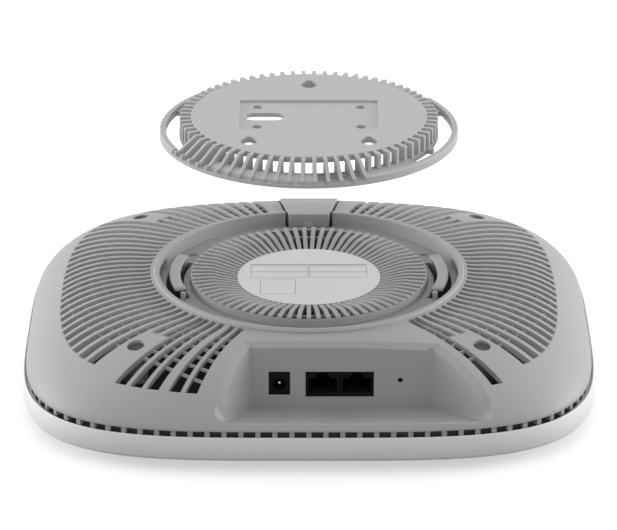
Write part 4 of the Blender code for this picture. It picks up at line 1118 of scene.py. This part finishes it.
add_block(pocket, (-pocket_width / 2, pocket_y - pocket_depth / 2, PLATE_TOP - pocket_sink),
          (pocket_width / 2, pocket_y + pocket_depth / 2, PLATE_TOP + 2))
cut(disc, pocket)
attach(disc, "mounting_plate")
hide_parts("mounting_plate")

# Plate ribs
# Upright ribs under the edge of the disc that let air through. Those at the front left slope out to the ring
# with stepped feet; all are moulded with the disc.
RIB_COUNT = 72
RIB_WIDTH = 1.7
RIB_RADIUS = 59.0
RIB_CHAMFER = 0.5
RIB_ROUND = 0.2
RIB_BITE = 1.0
RIB_SHOULDER = 57.6
LONG_RIBS = (205.0, 295.0)
FLANGE_INNER = FIN_RADIUS + 0.7
FLANGE_OUTER = HOOK_INNER - 0.4
FLANGE_THICKNESS = 2.2
RING_INNER = HOOK_OUTER + 0.8
RING_OUTER = WELL_RADIUS - 1.2
RING_HEIGHT = 3.6
RIB_DROP = 0.1
LOW_RING_HEIGHT = 1.5
rib_inner, rib_top = DISC_RADIUS - RIB_BITE, PLATE_TOP - RIB_DROP
rib_under, rib_back = DISC_UNDER + 0.2, FLANGE_INNER + 0.3
rib_foot, long_foot = PLATE_BOTTOM + FLANGE_THICKNESS - 0.4, PLATE_BOTTOM + 0.3
long_outer, long_step = RING_OUTER - 0.05, PLATE_BOTTOM + RING_HEIGHT - 0.05
short_rib = [(rib_inner, rib_under), (rib_back, rib_under), (rib_back, rib_foot), (RIB_RADIUS, rib_foot),
             (RIB_RADIUS, rib_top - RIB_CHAMFER), (RIB_RADIUS - RIB_CHAMFER, rib_top), (rib_inner, rib_top)]
long_rib = [(rib_inner, rib_under), (rib_back, rib_under), (rib_back, long_foot), (long_outer, long_foot),
            (long_outer, long_step), (RING_INNER + 0.3, long_step), (RIB_SHOULDER, rib_top),
            (rib_inner, rib_top)]
ribs = bmesh.new()
for i in range(RIB_COUNT):
    degrees = 360 * (i + 0.5) / RIB_COUNT
    side = long_rib if LONG_RIBS[0] < degrees < LONG_RIBS[1] else short_rib
    add_fin(ribs, side, RIB_WIDTH, math.radians(degrees))
plate_ribs = make_piece("mounting_plate_ribs", ribs, plate_painted_light_abs)
add_rounding(plate_ribs, RIB_ROUND)
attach(plate_ribs, "mounting_plate")

# Plate ring
# The flange under the ribs and the outer ring that turns under the hook arms, with a window at each side for
# an arm and a notch at the back for the release tab.
WINDOW_BACK = HOOK_BACK + 2.0
WINDOW_RIGHT_FRONT, WINDOW_LEFT_FRONT = -40.0, -24.5
TAB_NOTCH_MARGIN = 1.4
RING_ROUND = 0.5
LOW_RING = (205.5, 292.5)
RING_GAPS = ((31.2, 32.4), (34.0, 52.0))
LOW_RING_GAP = 1.2
RING_GAP_INNER = RING_INNER - 0.8
RING_TOP, FLANGE_TOP = PLATE_BOTTOM + RING_HEIGHT, PLATE_BOTTOM + FLANGE_THICKNESS
past_ring, below = RING_OUTER + 1, PLATE_BOTTOM - 1
ring_profile = [(FLANGE_INNER, FLANGE_TOP), (RING_INNER, FLANGE_TOP), (RING_INNER, RING_TOP),
                (RING_OUTER - RING_ROUND, RING_TOP), (RING_OUTER, RING_TOP - RING_ROUND),
                (RING_OUTER, PLATE_BOTTOM), (FLANGE_INNER, PLATE_BOTTOM)]
ring = turned("mounting_plate_ring", ring_profile, plate_painted_light_abs)
windows = bmesh.new()
for start, end in ((WINDOW_RIGHT_FRONT, WINDOW_BACK), (180 - WINDOW_BACK, 180 - WINDOW_LEFT_FRONT)):
    add_sector(windows, FLANGE_OUTER, RING_INNER, start, end, below, PLATE_TOP)
add_sector(windows, FLANGE_OUTER + LOW_RING_GAP, past_ring, *LOW_RING, PLATE_BOTTOM + LOW_RING_HEIGHT,
           PLATE_TOP)
for start, end in RING_GAPS:
    add_sector(windows, RING_GAP_INNER, past_ring, start, end, below, PLATE_TOP)
cut(ring, windows)
notch = bmesh.new()
half = TAB_INNER_WIDTH / 2 + TAB_NOTCH_MARGIN
add_block(notch, (-half, TAB_INNER_Y - TAB_NOTCH_MARGIN, below), (half, HALF_DEPTH, PLATE_TOP))
cut(ring, notch)
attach(ring, "mounting_plate")

# Turn ramp
# A rounded rib between the long ribs that guides the plate as it is turned home, with a stop at its end, and
# a small block at the front of the right window.
RAMP = (227.5, 273.4)
RAMP_INNER, RAMP_OUTER = FLANGE_OUTER + 2.0, RING_OUTER - 1.7
RAMP_HEIGHT = 4.2
RAMP_STEPS = 8
RAMP_STEP = 2.0
STOP_WIDTH = 1.6
STOP_DEPTH = 2.4
STOP_RISE = 0.9
WINDOW_BLOCK = (-25.6, -23.2)
WINDOW_BLOCK_SIDES = (FLANGE_OUTER - 0.4, FLANGE_OUTER + 2.3)
ramp = bmesh.new()
count = round((RAMP[1] - RAMP[0]) / RAMP_STEP)
sections = []
for i in range(count + 1):
    degrees = RAMP[0] + (RAMP[1] - RAMP[0]) * i / count
    section = [polar(RAMP_INNER, degrees, PLATE_BOTTOM + 0.5)]
    for step in range(RAMP_STEPS + 1):
        bend = math.pi / 2 * step / RAMP_STEPS
        height = LOW_RING_HEIGHT + (RAMP_HEIGHT - LOW_RING_HEIGHT) * math.cos(bend)
        radius = RAMP_INNER + (RAMP_OUTER - RAMP_INNER) * math.sin(bend)
        section.append(polar(radius, degrees, PLATE_BOTTOM + height))
    section.append(polar(RAMP_OUTER, degrees, PLATE_BOTTOM + 0.5))
    sections.append(section)
add_run(ramp, sections)
stop = math.degrees(STOP_WIDTH / RAMP_OUTER)
add_sector(ramp, RAMP_INNER, RAMP_INNER + STOP_DEPTH, RAMP[1] - stop, RAMP[1] + 0.05, PLATE_BOTTOM + 0.6,
           PLATE_BOTTOM + RAMP_HEIGHT + STOP_RISE, 1.0)
add_sector(ramp, *WINDOW_BLOCK_SIDES, *WINDOW_BLOCK, PLATE_BOTTOM + 0.1, FLANGE_TOP + 0.2)
turn_ramp = make_piece("mounting_plate_turn_ramp", ramp, plate_painted_light_abs)
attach(turn_ramp, "mounting_plate")

# Pieces inside
# The board, its cans and pads, the metal sheets, antennas, standoffs and screws stay as they are made, out of
# sight between the cover and the casing; each takes the finish of its own material, save the heat spreader,
# whose black is painted shade behind the louvres.
# Green solder mask over glass-fibre laminate: a satin film.
solder_mask = moulded_plastic("green_solder_mask", "#1F5A38", 0.4, 0.8, 0.01, 0.1)
# A dull black on the heat spreader: painted shade, so that what shows through the louvres reads dark.
heat_spreader_shade_black = moulded_plastic("heat_spreader_painted_shade_black", "#0E0E0F", 0.7, 0.5, 0.01)
# Rolled aluminium as it leaves the mill, and steel sheet with a bright coat of tin.
mill_aluminium = plain_metal("mill_aluminium", "#C4C6C8", 0.4, 2.0)
tinned_steel = plain_metal("tinned_steel", "#BDBDB8", 0.3, 2.0)
# Soft silicone pad, matt and a little dusty.
silicone_pad = moulded_plastic("grey_silicone_pad", "#8088A0", 0.85, 1.0, 0.03, 0.06)
# Clear acrylic rod, polished by the mould.
clear_acrylic = moulded_plastic("clear_acrylic", "#E4E8EA", 0.12, 2.0, 0.002, 0.01)
clear_acrylic.node_tree.nodes["Principled BSDF"].inputs["Transmission Weight"].default_value = 0.9
inside_finishes = {"main_board": solder_mask, "heat_spreader": heat_spreader_shade_black,
                   "reflector_tray": mill_aluminium, "shield_can": tinned_steel, "thermal_pad": silicone_pad,
                   "antenna": tinned_steel, "standoff": tinned_steel, "board_screw": zinc_steel,
                   "light_guide": clear_acrylic, "reset_button": black_pbt, "reset_switch": black_pbt}
for name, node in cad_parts.items():
    for start, finish in inside_finishes.items():
        if name.startswith(start):
            node.data.materials.clear()
            node.data.materials.append(finish)

# Floor
# A plain white sheet under the object. To the camera it reads as white paper and still takes the shadow; to
# everything else it is a mid grey, so that it throws little light back up.
FLOOR_SIZE = 12.0
FLOOR_BOUNCE = "#828282"
FLOOR_SEEN = "#D4D4D4"
FLOOR_GLOW = 0.5
FLOOR_DROP = 0.05


def seen_directly(tree):
    """A node that is 1 for what the camera sees, also by reflection or through clear pieces, and else 0."""
    path = add_node(tree, "ShaderNodeLightPath")
    glossy = add_node(tree, "ShaderNodeMath", {"operation": "MAXIMUM"},
                      [(0, path, "Is Glossy Ray"), (1, path, "Is Transmission Ray")])
    return add_node(tree, "ShaderNodeMath", {"operation": "MAXIMUM"},
                    [(0, path, "Is Camera Ray"), (1, glossy, 0)])


floor_mesh = bmesh.new()
bmesh.ops.create_grid(floor_mesh, x_segments=1, y_segments=1, size=FLOOR_SIZE / 2 / MM,
                      matrix=Matrix.Translation((0, 0, -FLOOR_DROP)))
floor_paper, tree, shader = new_material("white_paper_sweep")
shader.inputs["Roughness"].default_value = 0.9
shader.inputs["Specular IOR Level"].default_value = 0.0
seen = seen_directly(tree)
tone = add_node(tree, "ShaderNodeMix", {"data_type": "RGBA"}, [(0, seen, 0)])
tone.inputs[6].default_value = linear(FLOOR_BOUNCE)
tone.inputs[7].default_value = linear(FLOOR_SEEN)
tree.links.new(tone.outputs[2], shader.inputs["Base Color"])
glow = add_node(tree, "ShaderNodeMath", {"operation": "MULTIPLY"}, [(0, seen, 0)])
glow.inputs[1].default_value = FLOOR_GLOW
shader.inputs["Emission Color"].default_value = (1.0, 1.0, 1.0, 1.0)
tree.links.new(glow.outputs[0], shader.inputs["Emission Strength"])
floor = make_piece("floor", floor_mesh, floor_paper, is_open=True)

# Light
# Two large soft boxes, one at each side, and an even pale room around them. Straight to the camera, the room
# is plain white.
BOX_DISTANCE = 1.7
BOX_SIZE = (1.1, 0.4)
BOX_ELEVATION = 12.0
BOX_TURN = -13.0
BOX_STRENGTH = 0.58
ROOM_LIGHT = 0.74
FULL_LIGHT = math.pi ** 2 * BOX_DISTANCE ** 2
elevation, turn = math.radians(BOX_ELEVATION), math.radians(BOX_TURN)
for name, sign in (("left_soft_box", -1), ("right_soft_box", 1)):
    lamp = bpy.data.lights.new(name, "AREA")
    lamp.shape = "RECTANGLE"
    lamp.size, lamp.size_y = BOX_SIZE
    lamp.energy = FULL_LIGHT * BOX_STRENGTH
    box = bpy.data.objects.new(name, lamp)
    way = Vector((sign * math.cos(elevation) * math.cos(turn), -math.cos(elevation) * math.sin(turn),
                  math.sin(elevation)))
    box.location = way * BOX_DISTANCE + Vector((0, 0, RIM_TOP * MM))
    box.rotation_euler = way.to_track_quat("Z", "Y").to_euler()
    bpy.context.scene.collection.objects.link(box)
world = bpy.data.worlds.new("pale_room")
world.use_nodes = True
tree = world.node_tree
backdrop = tree.nodes["Background"]
level = add_node(tree, "ShaderNodeMapRange", {"To Min": ROOM_LIGHT, "To Max": 1.0},
                 [("Value", seen_directly(tree), 0)])
backdrop.inputs["Color"].default_value = (1.0, 1.0, 1.0, 1.0)
tree.links.new(level.outputs["Result"], backdrop.inputs["Strength"])
bpy.context.scene.world = world

# Camera
# It stands in front of the ports and looks down on the middle of the well's rim, as the photograph does.
CAMERA_ELEVATION = 22.7
CAMERA_DISTANCE = 1900.0
IMAGE_WIDTH = 617
FOCAL_PIXELS = 4096.0
AIM_PIXEL = (308.85, 267.7)
IMAGE_MIDDLE = (308.5, 265.0)
SENSOR = 36.0
camera = bpy.data.objects.new("camera", bpy.data.cameras.new("camera"))
camera.data.sensor_width = SENSOR
camera.data.lens = FOCAL_PIXELS / IMAGE_WIDTH * SENSOR
camera.data.shift_x = (IMAGE_MIDDLE[0] - AIM_PIXEL[0]) / IMAGE_WIDTH
camera.data.shift_y = (AIM_PIXEL[1] - IMAGE_MIDDLE[1]) / IMAGE_WIDTH
elevation = math.radians(CAMERA_ELEVATION)
way = Vector((0.0, -math.cos(elevation), math.sin(elevation)))
camera.location = (way * CAMERA_DISTANCE + Vector((0, 0, RIM_TOP))) * MM
camera.rotation_euler = way.to_track_quat("Z", "Y").to_euler()
bpy.context.scene.collection.objects.link(camera)
bpy.context.scene.camera = camera
bpy.context.scene.view_settings.view_transform = "Standard"
